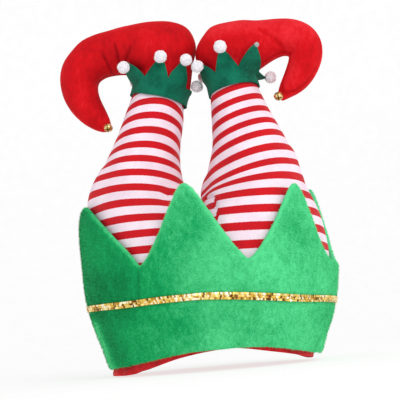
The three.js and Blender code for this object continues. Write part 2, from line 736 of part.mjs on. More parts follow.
const hat = new THREE.Group();
const shape = new THREE.Group();
hat.add(shape);

function add(name, geometry, material, place = new THREE.Vector3(), turn = new THREE.Quaternion()) {
  const mesh = new THREE.Mesh(geometry, material);
  mesh.name = name;
  mesh.position.copy(place);
  mesh.quaternion.copy(turn);
  shape.add(mesh);
}

const room = liningRoom();
const bell = makeBell();
const sideways = new THREE.Vector3(1, 0, 0);
const bellTurn = new THREE.Quaternion().setFromAxisAngle(sideways, radians(-bellTip));
add('lining', makeLining(), redLining);
add('plush_cuff', makeCuff(), greenPlush);
add('gold_trim', makeTrim(), goldSequin);
for (const side of ['left', 'right']) {
  const tips = feltTipsOf(side);
  const shoe = makeShoe(side);
  const collar = makeFelt(side, tips);
  add(`${side}_leg`, makeLeg(side, room), stripedJersey);
  add(`${side}_shoe`, shoe, redVelour);
  add(`${side}_ankle_cuff`, collar, darkGreenFelt);
  add(`${side}_bell`, bell, brass, bellPlace(side, shoe), bellTurn);
  tips.forEach((tip, i) => {
    const name = tip.puff === tuftSize ? `${side}_pompom_tuft` : `${side}_pompom_${i + 1}`;
    const { place, towards } = pompomPlace(side, tip, [shoe, collar]);
    add(name, makePompom(tip.puff), whitePompom, place, turnFrom(upwards, towards));
  });
}

// The origin is the middle of the hat's footprint, on the surface that it stands on
const bounds = new THREE.Box3().setFromObject(hat);
const centre = bounds.getCenter(new THREE.Vector3());
shape.position.set(-centre.x, -centre.y, -bounds.min.z);

export default hat;
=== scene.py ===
# Elf hat: plush, jersey, velour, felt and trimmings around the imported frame
import math

import bmesh
import bpy
import numpy as np
from mathutils import Matrix, Vector, noise


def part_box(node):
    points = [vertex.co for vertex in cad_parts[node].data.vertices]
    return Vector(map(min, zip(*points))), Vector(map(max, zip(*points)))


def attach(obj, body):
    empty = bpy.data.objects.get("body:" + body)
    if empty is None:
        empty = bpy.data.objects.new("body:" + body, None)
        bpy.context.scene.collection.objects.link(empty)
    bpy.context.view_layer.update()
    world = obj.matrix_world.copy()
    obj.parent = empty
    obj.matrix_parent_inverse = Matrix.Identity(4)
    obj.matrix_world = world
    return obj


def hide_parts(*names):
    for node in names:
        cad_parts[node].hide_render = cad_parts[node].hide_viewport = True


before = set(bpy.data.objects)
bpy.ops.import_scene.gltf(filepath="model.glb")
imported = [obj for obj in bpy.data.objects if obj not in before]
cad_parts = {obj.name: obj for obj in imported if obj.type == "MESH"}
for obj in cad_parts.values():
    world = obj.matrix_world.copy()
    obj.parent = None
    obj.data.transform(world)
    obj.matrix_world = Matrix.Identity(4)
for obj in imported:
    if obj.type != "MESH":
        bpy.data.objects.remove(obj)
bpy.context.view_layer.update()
mm = 0.001  # sizes below are in millimetres unless a note says otherwise
scene = bpy.context.scene
sides = ("left", "right")
print("frame loaded:", len(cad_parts), "nodes")

# The middle of the hat: the lining's
capLow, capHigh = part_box("lining")
hatMiddle = np.array([(capLow.x + capHigh.x) / 2, (capLow.y + capHigh.y) / 2, 0.0]) / mm


# Camera: the photograph's view, slightly from below and a little to the right
view = {
    "azimuth": 9,  # degrees
    "distance": 950,
    "height": 28,
    "targetHeight": 173,
    "roll": -5,  # degrees
    "lens": 86.5,
    "aimSide": -3,
    "aimRise": -7,
}


def makeCamera():
    turn, roll = math.radians(view["azimuth"]), math.radians(view["roll"])
    target = Vector((hatMiddle[0], hatMiddle[1], view["targetHeight"]))
    place = Vector((math.sin(turn), -math.cos(turn), 0)) * view["distance"]
    place += Vector((hatMiddle[0], hatMiddle[1], view["height"]))
    ahead = target - place
    level = ahead.cross(Vector((0, 0, 1))).normalized()
    upright = level.cross(ahead).normalized()
    right = level * math.cos(roll) + upright * math.sin(roll)
    up = upright * math.cos(roll) - level * math.sin(roll)
    ahead = (ahead + right * view["aimSide"] + up * view["aimRise"]).normalized()
    right = ahead.cross(up).normalized()
    up = right.cross(ahead)
    data = bpy.data.cameras.new("camera")
    data.lens = view["lens"]
    data.clip_start, data.clip_end = 0.05, 50
    camera = bpy.data.objects.new("camera", data)
    camera.matrix_world = Matrix((right, up, -ahead)).transposed().to_4x4()
    camera.location = place * mm
    scene.collection.objects.link(camera)
    scene.camera = camera


makeCamera()
scene.view_settings.view_transform = "Standard"
scene.view_settings.look = "None"
print("camera placed")


# Meshes
def meshFrom(name, corners, faces, smooth=True):  # corners in metres, in the frame
    mesh = bpy.data.meshes.new(name)
    mesh.from_pydata([tuple(c) for c in corners], [], faces)
    mesh.update()
    mesh.polygons.foreach_set("use_smooth", [smooth] * len(mesh.polygons))
    piece = bpy.data.objects.new(name, mesh)
    scene.collection.objects.link(piece)
    return piece


def copyOf(node, name):  # a merged copy of a frame node's mesh
    work = bmesh.new()
    work.from_mesh(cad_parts[node].data)
    bmesh.ops.remove_doubles(work, verts=work.verts, dist=0.02 * mm)
    bmesh.ops.dissolve_degenerate(work, edges=work.edges, dist=0.02 * mm)
    bmesh.ops.join_triangles(
        work, faces=work.faces, angle_face_threshold=0.9, angle_shape_threshold=1.2
    )
    work.verts.ensure_lookup_table()
    corners = [v.co.copy() for v in work.verts]
    faces = [[v.index for v in f.verts] for f in work.faces]
    work.free()
    return meshFrom(name, corners, faces)


def tubeFaces(rows, columns):  # quads of a closed tube whose rows are closed too
    faces = []
    for row in range(rows):
        low, high = row * columns, (row + 1) % rows * columns
        for column in range(columns):
            beside = (column + 1) % columns
            faces.append([low + column, low + beside, high + beside, high + column])
    return faces


def settle(piece):  # turns the modifiers' result into the piece's own mesh
    graph = bpy.context.evaluated_depsgraph_get()
    made = bpy.data.meshes.new_from_object(piece.evaluated_get(graph))
    piece.modifiers.clear()
    piece.data = made
    return piece


def modify(piece, kind, **settings):
    modifier = piece.modifiers.new(kind.lower(), kind)
    for name, value in settings.items():
        setattr(modifier, name, value)
    return modifier


def soften(piece, voxel, rounds):  # an even mesh without the solid's facets
    modify(piece, "SUBSURF", levels=2, render_levels=2)
    modify(piece, "REMESH", mode="VOXEL", voxel_size=voxel * mm, use_smooth_shade=True)
    modify(piece, "SMOOTH", factor=0.5, iterations=rounds)
    return settle(piece)


def cornersOf(piece):  # in millimetres from the hat's middle
    flat = np.zeros(len(piece.data.vertices) * 3)
    piece.data.vertices.foreach_get("co", flat)
    return flat.reshape(-1, 3) / mm - hatMiddle


def normalsOf(piece):
    flat = np.zeros(len(piece.data.vertices) * 3)
    piece.data.vertices.foreach_get("normal", flat)
    return flat.reshape(-1, 3)


def moveCorners(piece, corners):
    piece.data.vertices.foreach_set("co", ((corners + hatMiddle) * mm).ravel())
    piece.data.update()


def keep(piece, name, values):  # one number for each corner, for the materials
    attribute = piece.data.attributes.new(name, "FLOAT", "POINT")
    attribute.data.foreach_set("value", np.asarray(values, np.float32))


def lumps(corners, size, seed):  # soft noise from -1 to 1 at each corner
    offset = Vector((seed * 17.3, seed * 5.1, seed * 9.7))
    return np.array([noise.noise(Vector(c) / size + offset) for c in corners])


def readTable(rows, key, column, at, turn=None):  # smooth between rows, never past them
    xs = np.array([row[key] for row in rows], float)
    ys = np.array([row[column] for row in rows], float)
    at = np.asarray(at, float)
    if turn:  # a table that goes once round
        xs, ys = np.concatenate([xs - turn, xs, xs + turn]), np.tile(ys, 3)
        at = np.mod(at, turn)
    step = np.diff(xs)
    slope = np.diff(ys) / step
    middle = (ys[2:] - ys[:-2]) / (xs[2:] - xs[:-2])
    most = 3 * np.minimum(np.abs(slope[1:]), np.abs(slope[:-1]))
    middle = np.where(slope[1:] * slope[:-1] > 0, np.sign(middle) * np.minimum(np.abs(middle), most), 0)
    slopes = np.concatenate([slope[:1], middle, slope[-1:]])
    at = np.clip(at, xs[0], xs[-1])
    i = np.clip(np.searchsorted(xs, at, "right") - 1, 0, len(step) - 1)
    t = (at - xs[i]) / step[i]
    start = ys[i] * (1 + 2 * t) + step[i] * slopes[i] * t
    end = ys[i + 1] * (3 - 2 * t) - step[i] * slopes[i + 1] * (1 - t)
    return start * (1 - t) ** 2 + end * t * t


# Creases drawn in the front view: from (x, z) to (toX, toZ), pressed in along the normals, or out
# where deep is below 0; round ones go right round the piece
def creaseDepth(corners, crease):
    start = np.array([crease["x"], crease["z"]], float)
    along = np.array([crease["toX"], crease["toZ"]], float) - start
    long = np.linalg.norm(along)
    along /= long
    away = corners[:, [0, 2]] - start
    reach = np.clip(away @ along, 0, long)
    off = np.linalg.norm(away - reach[:, None] * along, axis=1)
    fade = np.sin(np.pi * np.clip((away @ along + crease["wide"]) / (long + 2 * crease["wide"]), 0, 1))
    return crease["deep"] * np.exp(-((off / crease["wide"]) ** 2)) * fade ** 0.6


def pressCreases(piece, creases):
    corners, normals = cornersOf(piece), normalsOf(piece)
    for crease in creases:
        front = 1 if crease.get("round") else np.clip(0.3 - 2 * normals[:, 1], 0, 1)
        corners -= normals * (creaseDepth(corners, crease) * front)[:, None]
    moveCorners(piece, corners)


# Pushes: soft places shifted in the front view, around (x, z), fading over wide and high
def pushSoft(piece, pushes):
    corners = cornersOf(piece)
    for push in pushes:
        across = (corners[:, 0] - push["x"]) / push["wide"]
        up = (corners[:, 2] - push["z"]) / push["high"]
        move = np.array([push.get("moveX", 0), 0, push.get("moveZ", 0)])
        corners += np.exp(-(across ** 2 + up ** 2))[:, None] * move
    moveCorners(piece, corners)


# Geometry node trees
def newTree(name, inputs):
    tree = bpy.data.node_groups.new(name, "GeometryNodeTree")
    for way in ("INPUT", "OUTPUT"):
        tree.interface.new_socket("Geometry", in_out=way, socket_type="NodeSocketGeometry")
    for label, value in inputs.items():
        kind = "NodeSocketInt" if isinstance(value, int) else "NodeSocketFloat"
        if value is None:
            kind = "NodeSocketMaterial"
        socket = tree.interface.new_socket(label, in_out="INPUT", socket_type=kind)
        if value is not None:
            socket.default_value = value
    return tree, tree.nodes.new("NodeGroupInput"), tree.nodes.new("NodeGroupOutput")


def addNode(tree, kind, links=None, **settings):  # links: input name or number to a socket or a value
    node = tree.nodes.new(kind)
    for name, value in settings.items():
        setattr(node, name, value)
    for key, value in (links or {}).items():
        socket = node.inputs[key]
        if isinstance(value, bpy.types.NodeSocket):
            tree.links.new(value, socket)
        else:
            socket.default_value = value
    return node


def vectorNode(tree, operation, first, second):
    links = {0: first, "Scale" if operation == "SCALE" else 1: second}
    return addNode(tree, "ShaderNodeVectorMath", links, operation=operation).outputs[0]


def randomNode(tree, low, high, seed):
    links = {"Min": low, "Max": high, "Seed": seed}
    return addNode(tree, "FunctionNodeRandomValue", links, data_type="FLOAT_VECTOR").outputs[0]


def finishTree(tree, instances, source, result):
    real = addNode(tree, "GeometryNodeRealizeInstances", {0: instances}).outputs[0]
    links = {0: real, "Material": source.outputs["Material"]}
    done = addNode(tree, "GeometryNodeSetMaterial", links)
    tree.links.new(done.outputs[0], result.inputs[0])
    return tree


def setInputs(modifier, tree, values):  # by the sockets' identifiers
    for item in tree.interface.items_tree:
        if item.item_type == "SOCKET" and item.in_out == "INPUT" and item.name in values:
            modifier[item.identifier] = values[item.name]


def runTree(piece, tree, values):
    modifier = piece.modifiers.new("nodes", "NODES")
    modifier.node_group = tree
    setInputs(modifier, tree, values)
    return settle(piece)


# Materials
def linear(red, green, blue):  # an sRGB colour of 0 to 255 as a shader colour
    def one(value):
        value /= 255
        return value / 12.92 if value <= 0.04045 else ((value + 0.055) / 1.055) ** 2.4

    return (one(red), one(green), one(blue), 1)


def newMaterial(name, **settings):
    material = bpy.data.materials.new(name)
    material.use_nodes = True
    tree = material.node_tree
    shader = tree.nodes["Principled BSDF"]
    for label, value in settings.items():
        shader.inputs[label.replace("_", " ")].default_value = value
    return material, tree, shader


def noiseNode(tree, scale, detail=2.0, rough=0.5, vector=None):  # scale in lumps a metre
    if vector is None:
        vector = tree.nodes.new("ShaderNodeTexCoord").outputs["Object"]
    links = {"Vector": vector, "Scale": scale, "Detail": detail, "Roughness": rough}
    return addNode(tree, "ShaderNodeTexNoise", links).outputs["Fac"]


def rampNode(tree, factor, stops):  # stops: place and colour
    node = addNode(tree, "ShaderNodeValToRGB", {"Fac": factor})
    ramp = node.color_ramp
    while len(ramp.elements) < len(stops):
        ramp.elements.new(0.5)
    for element, (place, colour) in zip(ramp.elements, stops):
        element.position, element.color = place, colour
    return node.outputs["Color"]


def paint(tree, shader, factor, stops):
    tree.links.new(rampNode(tree, factor, stops), shader.inputs["Base Color"])


def mixNode(tree, factor, first, second):
    return addNode(tree, "ShaderNodeMix", {0: factor, 6: first, 7: second}, data_type="RGBA").outputs[2]


def mathNode(tree, operation, first, second=0.0, third=0.0):
    links = {0: first, 1: second, 2: third}
    return addNode(tree, "ShaderNodeMath", links, operation=operation).outputs[0]


def attributeNode(tree, name):
    return addNode(tree, "ShaderNodeAttribute", attribute_name=name).outputs["Fac"]


def bumpNode(tree, shader, height, strength, distance):
    links = {"Height": height, "Strength": strength, "Distance": distance * mm}
    node = addNode(tree, "ShaderNodeBump", links)
    tree.links.new(node.outputs["Normal"], shader.inputs["Normal"])


def napMaterial(name, look):  # pile: slow drifts, short streaks down the nap and fine grain, over the painted light and nap tone kept at the corners
    material, tree, shader = newMaterial(
        name, Roughness=0.85, Sheen_Weight=look["sheen"], Sheen_Roughness=0.4, Specular_IOR_Level=0.15
    )
    shader.inputs["Sheen Tint"].default_value = look["light"]
    place = tree.nodes.new("ShaderNodeTexCoord").outputs["Object"]
    nap = {"Vector": place, "Rotation": (0.3, 0.25, 0), "Scale": (1, 1, 0.5)}
    combed = addNode(tree, "ShaderNodeMapping", nap)
    drift = noiseNode(tree, 1000 / look["drift"], 3.0, 0.6)
    streak = noiseNode(tree, 1000 / look["streak"], 3.0, 0.6, combed.outputs[0])
    fine = noiseNode(tree, 1000 / look["grain"], 2.0, 0.7)
    # the corners' painted light and nap tone shift the shade
    shade = mathNode(tree, "MULTIPLY_ADD", drift, look["driftShare"], attributeNode(tree, "napAndPaintedLight"))
    shade = mathNode(tree, "MULTIPLY_ADD", streak, look["streakShare"], shade)
    shade = mathNode(tree, "MULTIPLY_ADD", fine, look["grainShare"], shade)
    shares = look["driftShare"] + look["streakShare"] + look["grainShare"]
    shade = mathNode(tree, "SUBTRACT", shade, shares / 2)
    paint(tree, shader, shade, [(0.2, look["deep"]), (0.5, look["mid"]), (0.85, look["light"])])
    bumpNode(tree, shader, fine, 0.5, 0.4)
    return material


# Stage: a pale sweep, glowing a little like a light table, under soft studio light
stage = {
    "floorRadius": 2200,
    "sweepRadius": 1300,
    "wallHeight": 3200,
    "glow": 0.72,
    "paper": 0.3,
    "skyLight": 0.5,
    "keyPower": 13.0,
}


def makeStage():
    segments, quarter = 96, np.linspace(0, math.pi / 2, 12)
    outs = [stage["floorRadius"] + stage["sweepRadius"] * math.sin(t) for t in quarter]
    rises = [stage["sweepRadius"] * (1 - math.cos(t)) for t in quarter]
    outs.append(outs[-1])
    rises.append(stage["wallHeight"])
    corners, faces = [(0, 0, 0)], []
    for out, rise in zip(outs, rises):
        for turn in np.arange(segments) * 2 * math.pi / segments:
            corners.append((math.cos(turn) * out * mm, math.sin(turn) * out * mm, rise * mm))
    for segment in range(segments):
        beside = (segment + 1) % segments
        faces.append([0, 1 + segment, 1 + beside])
        for row in range(len(outs) - 1):
            low, high = 1 + row * segments, 1 + (row + 1) * segments
            faces.append([low + segment, high + segment, high + beside, low + beside])
    floor = meshFrom("floor", corners, faces)
    paper, tree, shader = newMaterial("pale_floor", Roughness=0.9, Specular_IOR_Level=0.0)
    dull, pale = [(stage["paper"] * share,) * 3 + (1,) for share in (1, 1.1)]
    paint(tree, shader, noiseNode(tree, 30.0), [(0.3, dull), (0.7, pale)])
    shader.inputs["Emission Color"].default_value = (1, 1, 1, 1)
    shader.inputs["Emission Strength"].default_value = stage["glow"]
    floor.data.materials.append(paper)
    world = bpy.data.worlds.new("studio")
    world.use_nodes = True
    world.node_tree.nodes["Background"].inputs["Color"].default_value = (1, 1, 1, 1)
    world.node_tree.nodes["Background"].inputs["Strength"].default_value = stage["skyLight"]
    scene.world = world
    light = bpy.data.lights.new("key", "AREA")
    light.size, light.energy = 1.0, stage["keyPower"]
    lamp = bpy.data.objects.new("key", light)
    lamp.location = (1.1, -1.4, 1.3)
    lamp.rotation_euler = (Vector((0, 0, 0.17)) - lamp.location).to_track_quat("-Z", "Y").to_euler()
    scene.collection.objects.link(lamp)


makeStage()
print("stage set")


# Body of the hat: the head opening, its padding and the rims, as in the frame
body = {
    "headWidth": 196,
    "headDepth": 166,
    "crownHeight": 128,
    "skinGap": 2.5,  # lining wall and the gap outside it
    "padding": 18.7,
    "layerGap": 0.9,
    "rimArch": 18.5,
    "rows": [  # up is a share of crownHeight
        {"up": 0.0, "wide": 0.975, "full": 0.0},
        {"up": 0.2, "wide": 0.99, "full": 0.27},
        {"up": 0.35, "wide": 1.0, "full": 0.55},
        {"up": 0.53, "wide": 1.0, "full": 0.87},
        {"up": 0.77, "wide": 1.0, "full": 1.0},
        {"up": 0.92, "wide": 1.0, "full": 1.0},
        {"up": 1.1, "wide": 1.0, "full": 0.95},
        {"up": 1.3, "wide": 1.0, "full": 0.84},
        {"up": 1.5, "wide": 1.0, "full": 0.72},
    ],
    "rim": [  # by angle from the front: cuff edge as a share of rimArch, trim of its height
        {"angle": 0, "cuff": 0.99, "trim": 1.0},
        {"angle": 16, "cuff": 1.0, "trim": 0.97},
        {"angle": 32, "cuff": 0.93, "trim": 0.92},
        {"angle": 50, "cuff": 0.69, "trim": 0.87},
        {"angle": 72, "cuff": 0.44, "trim": 0.85},
        {"angle": 95, "cuff": 0.38, "trim": 0.84},
        {"angle": 118, "cuff": 0.45, "trim": 0.86},
        {"angle": 150, "cuff": 0.8, "trim": 0.9},
        {"angle": 180, "cuff": 0.95, "trim": 0.94},
        {"angle": 210, "cuff": 0.8, "trim": 0.98},
        {"angle": 242, "cuff": 0.45, "trim": 1.01},
        {"angle": 270, "cuff": 0.42, "trim": 1.02},
        {"angle": 309, "cuff": 0.5, "trim": 1.0},
        {"angle": 330, "cuff": 0.68, "trim": 0.99},
        {"angle": 348, "cuff": 0.9, "trim": 1.0},
    ],
}


def aroundHat(angle, height, out):  # a place outside the hips, in degrees from the front and millimetres
    up = np.asarray(height) / body["crownHeight"]
    wide = readTable(body["rows"], "up", "wide", up)
    grow = body["skinGap"] + body["padding"] * readTable(body["rows"], "up", "full", up) + out
    turn = np.radians(angle)
    x = (body["headWidth"] / 2 * wide + grow) * np.sin(turn)
    y = -(body["headDepth"] / 2 * wide + grow) * np.cos(turn)
    return np.stack([x, y, np.asarray(height) + 0 * x], -1)


# Plush cuff with six rounded points
cuff = {
    "wall": 5,
    "valleyHeight": 100,
    "pointRise": 66,
    "points": [  # angles of tip and valley, shares of pointRise, how hollow the flanks are
        {"tip": -0.3, "valley": 24.5, "rise": 1.03, "sink": 0.07, "before": 1.55, "after": 1.28},
        {"tip": 52.8, "valley": 86, "rise": 0.955, "sink": 0.12, "before": 1.3, "after": 4},
        {"tip": 120, "valley": 150, "rise": 1.1, "sink": 0.05, "before": 4, "after": 1.2},
        {"tip": 180, "valley": 210, "rise": 1.0, "sink": 0.03, "before": 1.2, "after": 1.2},
        {"tip": 240, "valley": 265, "rise": 1.02, "sink": 0.06, "before": 1.2, "after": 1.2},
        {"tip": 295, "valley": 337, "rise": 0.98, "sink": 0.03, "before": 0.5, "after": 0.8},
    ],
    "rounding": 0.2,
    "turned": 1.2,  # degrees over which the turned edge smooths tips and valleys
    "columns": 600,
    "sideRows": 46,
    "edgeRows": 7,
    "topRadius": 4.5,
    "hemRadius": 5,
    "edgePuff": 0.7,
    "trimPinch": 0.7,
    "creases": [  # soft folds down from a valley: angle at the top and the bottom, heights, depth
        {"angle": 337, "toAngle": 335, "top": 100, "bottom": 62, "deep": 1.8, "wide": 1.8},
        {"angle": 86, "toAngle": 84, "top": 92, "bottom": 58, "deep": 1.0, "wide": 2.4},
        {"angle": 25, "toAngle": 27, "top": 98, "bottom": 74, "deep": 0.6, "wide": 3.0},
    ],
    "napAndPaintedLightAt": [-180, -100, -80, -55, -20, 5, 40, 120, 180],  # degrees from the front
    "napAndPaintedLight": [0.5, 0.5, 0.4, 0.34, 0.5, 0.64, 0.74, 0.72, 0.5],  # how light the plush is painted there: painted light, darker at the left and lighter at the right, partly nap tone
    "paintedSheenStrip": {"angle": -69, "wide": 9, "top": 60, "light": 0.42},  # a painted sheen strip under the trim at the left
    "paintedEdgeHighlight": 0.28,
    "pushes": [
        {"x": 112, "z": 6, "wide": 26, "high": 24, "moveX": -4},
        {"x": -112, "z": 140, "wide": 16, "high": 26, "moveX": -2.2},
    ],
    "look": {
        "deep": linear(0, 118, 62),
        "mid": linear(14, 164, 92),
        "light": linear(92, 222, 150),
        "drift": 34,
        "driftShare": 0.45,
        "streak": 3.6,
        "streakShare": 0.36,
        "grain": 1.2,
        "grainShare": 0.42,
        "sheen": 0.2,
    },
}
trim = {
    "height": 66,
    "width": 6,
    "spacing": 1.55,
    "disc": 1.2,
    "plate": 0.3,
    "rows": (-1.8, 0, 1.8),
    "facets": 8,
}


def cuffTop(angles):  # the zigzag edge, at even steps round the hat
    points = cuff["points"]
    full = math.hypot(1, cuff["rounding"]) - cuff["rounding"]
    heights = np.zeros(len(angles))
    for i, point in enumerate(points):
        before = points[i - 1]
        start = before["valley"] - (360 if before["valley"] > point["valley"] else 0)
        for shift in (0, 360):
            here = np.asarray(angles) % 360 - shift
            for end, sink, hollow in (
                (start, before["sink"], point["before"]),
                (point["valley"], point["sink"], point["after"]),
            ):
                share = (here - end) / (point["tip"] - end)
                inside = (share >= 0) & (share <= 1)
                reach = (np.hypot(1 - share, cuff["rounding"]) - cuff["rounding"]) / full
                flank = np.clip(1 - reach, 0, 1) ** hollow
                low = cuff["valleyHeight"] - cuff["pointRise"] * sink
                high = cuff["valleyHeight"] + cuff["pointRise"] * point["rise"]
                heights = np.where(inside, low + (high - low) * flank, heights)
    steps = round(cuff["turned"] * len(angles) / 360)
    weights = np.hanning(2 * steps + 3)[1:-1]
    shifted = [np.roll(heights, i - steps) * weight for i, weight in enumerate(weights)]
    return sum(shifted) / weights.sum()


def trimMiddle(angles):
    return trim["height"] * readTable(body["rim"], "angle", "trim", angles, 360)


def cuffPinch(angles, heights):  # how far the plush is drawn in: by the trim's seam and by folds
    pinch = cuff["trimPinch"] * np.exp(-(((heights - trimMiddle(angles)) / 4.5) ** 2))
    for fold in cuff["creases"]:
        share = (fold["top"] - heights) / (fold["top"] - fold["bottom"])
        middle = fold["angle"] + (fold["toAngle"] - fold["angle"]) * share
        off = ((angles - middle + 180) % 360 - 180) * 2.0  # a degree is about 2 mm
        fade = np.sin(np.pi * np.clip(share, 0, 1)) ** 0.5
        pinch = pinch + fold["deep"] * fade * np.exp(-((off / fold["wide"]) ** 2))
    return pinch


def makeCuff(material):
    angles = np.arange(cuff["columns"]) * 360 / cuff["columns"]
    low = body["rimArch"] * readTable(body["rim"], "angle", "cuff", angles, 360)
    high = cuffTop(angles)
    arc = 2.0 * 360 / cuff["columns"]
    steep = np.hypot(1, (np.roll(high, -1) - np.roll(high, 1)) / (2 * arc))
    wall, rows, outs = cuff["wall"], [], []
    quarter = np.linspace(0, math.pi / 2, cuff["edgeRows"])

    def edgeRow(edge, radius, turn, sign):  # one row of a rounded edge, turn 0 at the very edge
        depth = radius * (1 - math.cos(turn))
        rows.append(edge + depth)
        outs.append(wall / 2 * (1 + sign * math.sin(turn)) + 0 * angles)

    top, hem = -cuff["topRadius"] * np.minimum(steep, 2.2), cuff["hemRadius"]
    first, last = low + hem, high + top
    for turn in quarter:
        edgeRow(low, hem, turn, 1)
    for share in np.linspace(0, 1, cuff["sideRows"] + 2)[1:-1]:
        rows.append(first + (last - first) * share)
        outs.append(wall + 0 * angles)
    for turn in quarter[::-1]:
        edgeRow(high, top, turn, 1)
    for turn in quarter[1:]:
        edgeRow(high, top, turn, -1)
    for share in np.linspace(1, 0, 12)[1:-1]:
        rows.append(first + (last - first) * share)
        outs.append(0 * angles)
    for turn in quarter[:0:-1]:
        edgeRow(low, hem, turn, -1)
    corners = []
    for heights, out in zip(rows, outs):
        outside = np.clip(out / wall, 0, 1)
        puff = cuff["edgePuff"] * np.exp(-(((high - heights) / steep - 6) / 5) ** 2)
        grow = (puff - cuffPinch(angles, heights)) * outside
        corners.append(aroundHat(angles, heights, body["layerGap"] + out + grow))
    grid = np.concatenate(corners)
    edges = np.exp(-(((high - np.array(rows)) / steep / 2.2) ** 2))  # painted highlight along the points' edges
    piece = meshFrom("cuff_plush", (grid + hatMiddle) * mm, tubeFaces(len(rows), cuff["columns"]))
    normals = normalsOf(piece)
    shown = np.repeat([1.0 if out.mean() > wall * 0.45 else 0.0 for out in outs], cuff["columns"])
    nap = lumps(grid, 7, 1) * 0.3 + lumps(grid, 2.6, 2) * 0.2
    moveCorners(piece, grid + normals * (nap * shown)[:, None])
    pushSoft(piece, cuff["pushes"])
    keep(piece, "pile", shown)
    # painted light and nap tone for the plush colour
    keep(piece, "napAndPaintedLight", cuffNapAndPaintedLight(grid, edges.ravel()))
    piece.data.materials.append(material)
    return piece


def cuffNapAndPaintedLight(grid, edge):  # painted light and nap tone: the plush is painted darker at the left and lighter at the right, with a painted sheen strip at the left, painted highlights along the points and random nap tone
    angles = np.degrees(np.arctan2(grid[:, 0], -grid[:, 1]))
    across = np.interp(angles, cuff["napAndPaintedLightAt"], cuff["napAndPaintedLight"])
    paintedSheenStrip = cuff["paintedSheenStrip"]
    # painted sheen: a lighter strip down the left side below the trim
    pale = paintedSheenStrip["light"] * np.exp(-(((angles - paintedSheenStrip["angle"]) / paintedSheenStrip["wide"]) ** 2))
    pale *= np.clip((paintedSheenStrip["top"] - grid[:, 2]) / 12, 0, 1)
    return across + pale + lumps(grid, 60, 3) * 0.12 + cuff["paintedEdgeHighlight"] * edge


plush = napMaterial("green_plush", cuff["look"])
cuffPiece = makeCuff(plush)
print("cuff made:", len(cuffPiece.data.polygons), "faces")


# Pile: short leaning hairs over the plush
pile = {"density": 0.54, "length": 1.7, "width": 0.36, "lean": 0.9, "seed": 4}


def pileTree():
    inputs = {"Density": 1.0, "Length": 1.0, "Width": 1.0, "Lean": 1.0, "Seed": 1, "Material": None}
    tree, source, result = newTree("pile", inputs)
    given = source.outputs
    shown = addNode(tree, "GeometryNodeInputNamedAttribute", {"Name": "pile"}, data_type="FLOAT")
    scatter = {"Mesh": given["Geometry"], "Selection": shown.outputs["Attribute"]}
    scatter |= {"Density": given["Density"], "Seed": given["Seed"]}
    spread = addNode(tree, "GeometryNodeDistributePointsOnFaces", scatter)
    cone = {"Vertices": 3, "Radius Top": 0.0, "Radius Bottom": given["Width"], "Depth": given["Length"]}
    hair = addNode(tree, "GeometryNodeMeshCone", cone, fill_type="NGON")
    # the hairs lie down the nap, which a slow noise turns from place to place
    swirl = addNode(tree, "ShaderNodeTexNoise", {"Scale": 55.0, "Detail": 2.0})
    swing = vectorNode(tree, "SUBTRACT", swirl.outputs["Color"], (0.5, 0.5, 0.75))
    jitter = randomNode(tree, (-0.35, -0.35, -0.35), (0.35, 0.35, 0.35), given["Seed"])
    leant = vectorNode(tree, "ADD", vectorNode(tree, "SCALE", swing, given["Lean"]), jitter)
    normal = vectorNode(tree, "SCALE", spread.outputs["Normal"], 0.75)
    way = vectorNode(tree, "ADD", normal, leant)
    turn = addNode(tree, "FunctionNodeAlignRotationToVector", {"Vector": way}, axis="Z")
    size = randomNode(tree, (0.6, 0.6, 0.55), (1.2, 1.2, 1.3), 7)
    places = {"Points": spread.outputs["Points"], "Instance": hair.outputs["Mesh"]}
    places |= {"Rotation": turn.outputs[0], "Scale": size}
    hairs = addNode(tree, "GeometryNodeInstanceOnPoints", places)
    return finishTree(tree, hairs.outputs[0], source, result)


def makePile(base, name, material, hair):  # density in hairs a square millimetre
    piece = bpy.data.objects.new(name, base.data.copy())
    scene.collection.objects.link(piece)
    values = {
        "Density": hair["density"] * 1e6,
        "Length": hair["length"] * mm,
        "Width": hair["width"] / 2 * mm,
        "Lean": hair["lean"],
        "Seed": hair["seed"],
        "Material": material,
    }
    return runTree(piece, hairTree, values)


hairTree = pileTree()
cuffPile = makePile(cuffPiece, "cuff_pile", plush, pile)
print("pile made:", len(cuffPile.data.polygons), "faces")


# Sequin trim
# gold tones: on the sequins, dark to white are painted reflections and glints; band is the ribbon's own
# colour
gold = {
    "dark": linear(96, 56, 18),
    "brown": linear(168, 116, 40),
    "mid": linear(218, 170, 50),
    "bright": linear(255, 232, 140),
    "white": linear(255, 250, 226),
    "band": linear(186, 140, 48),
}


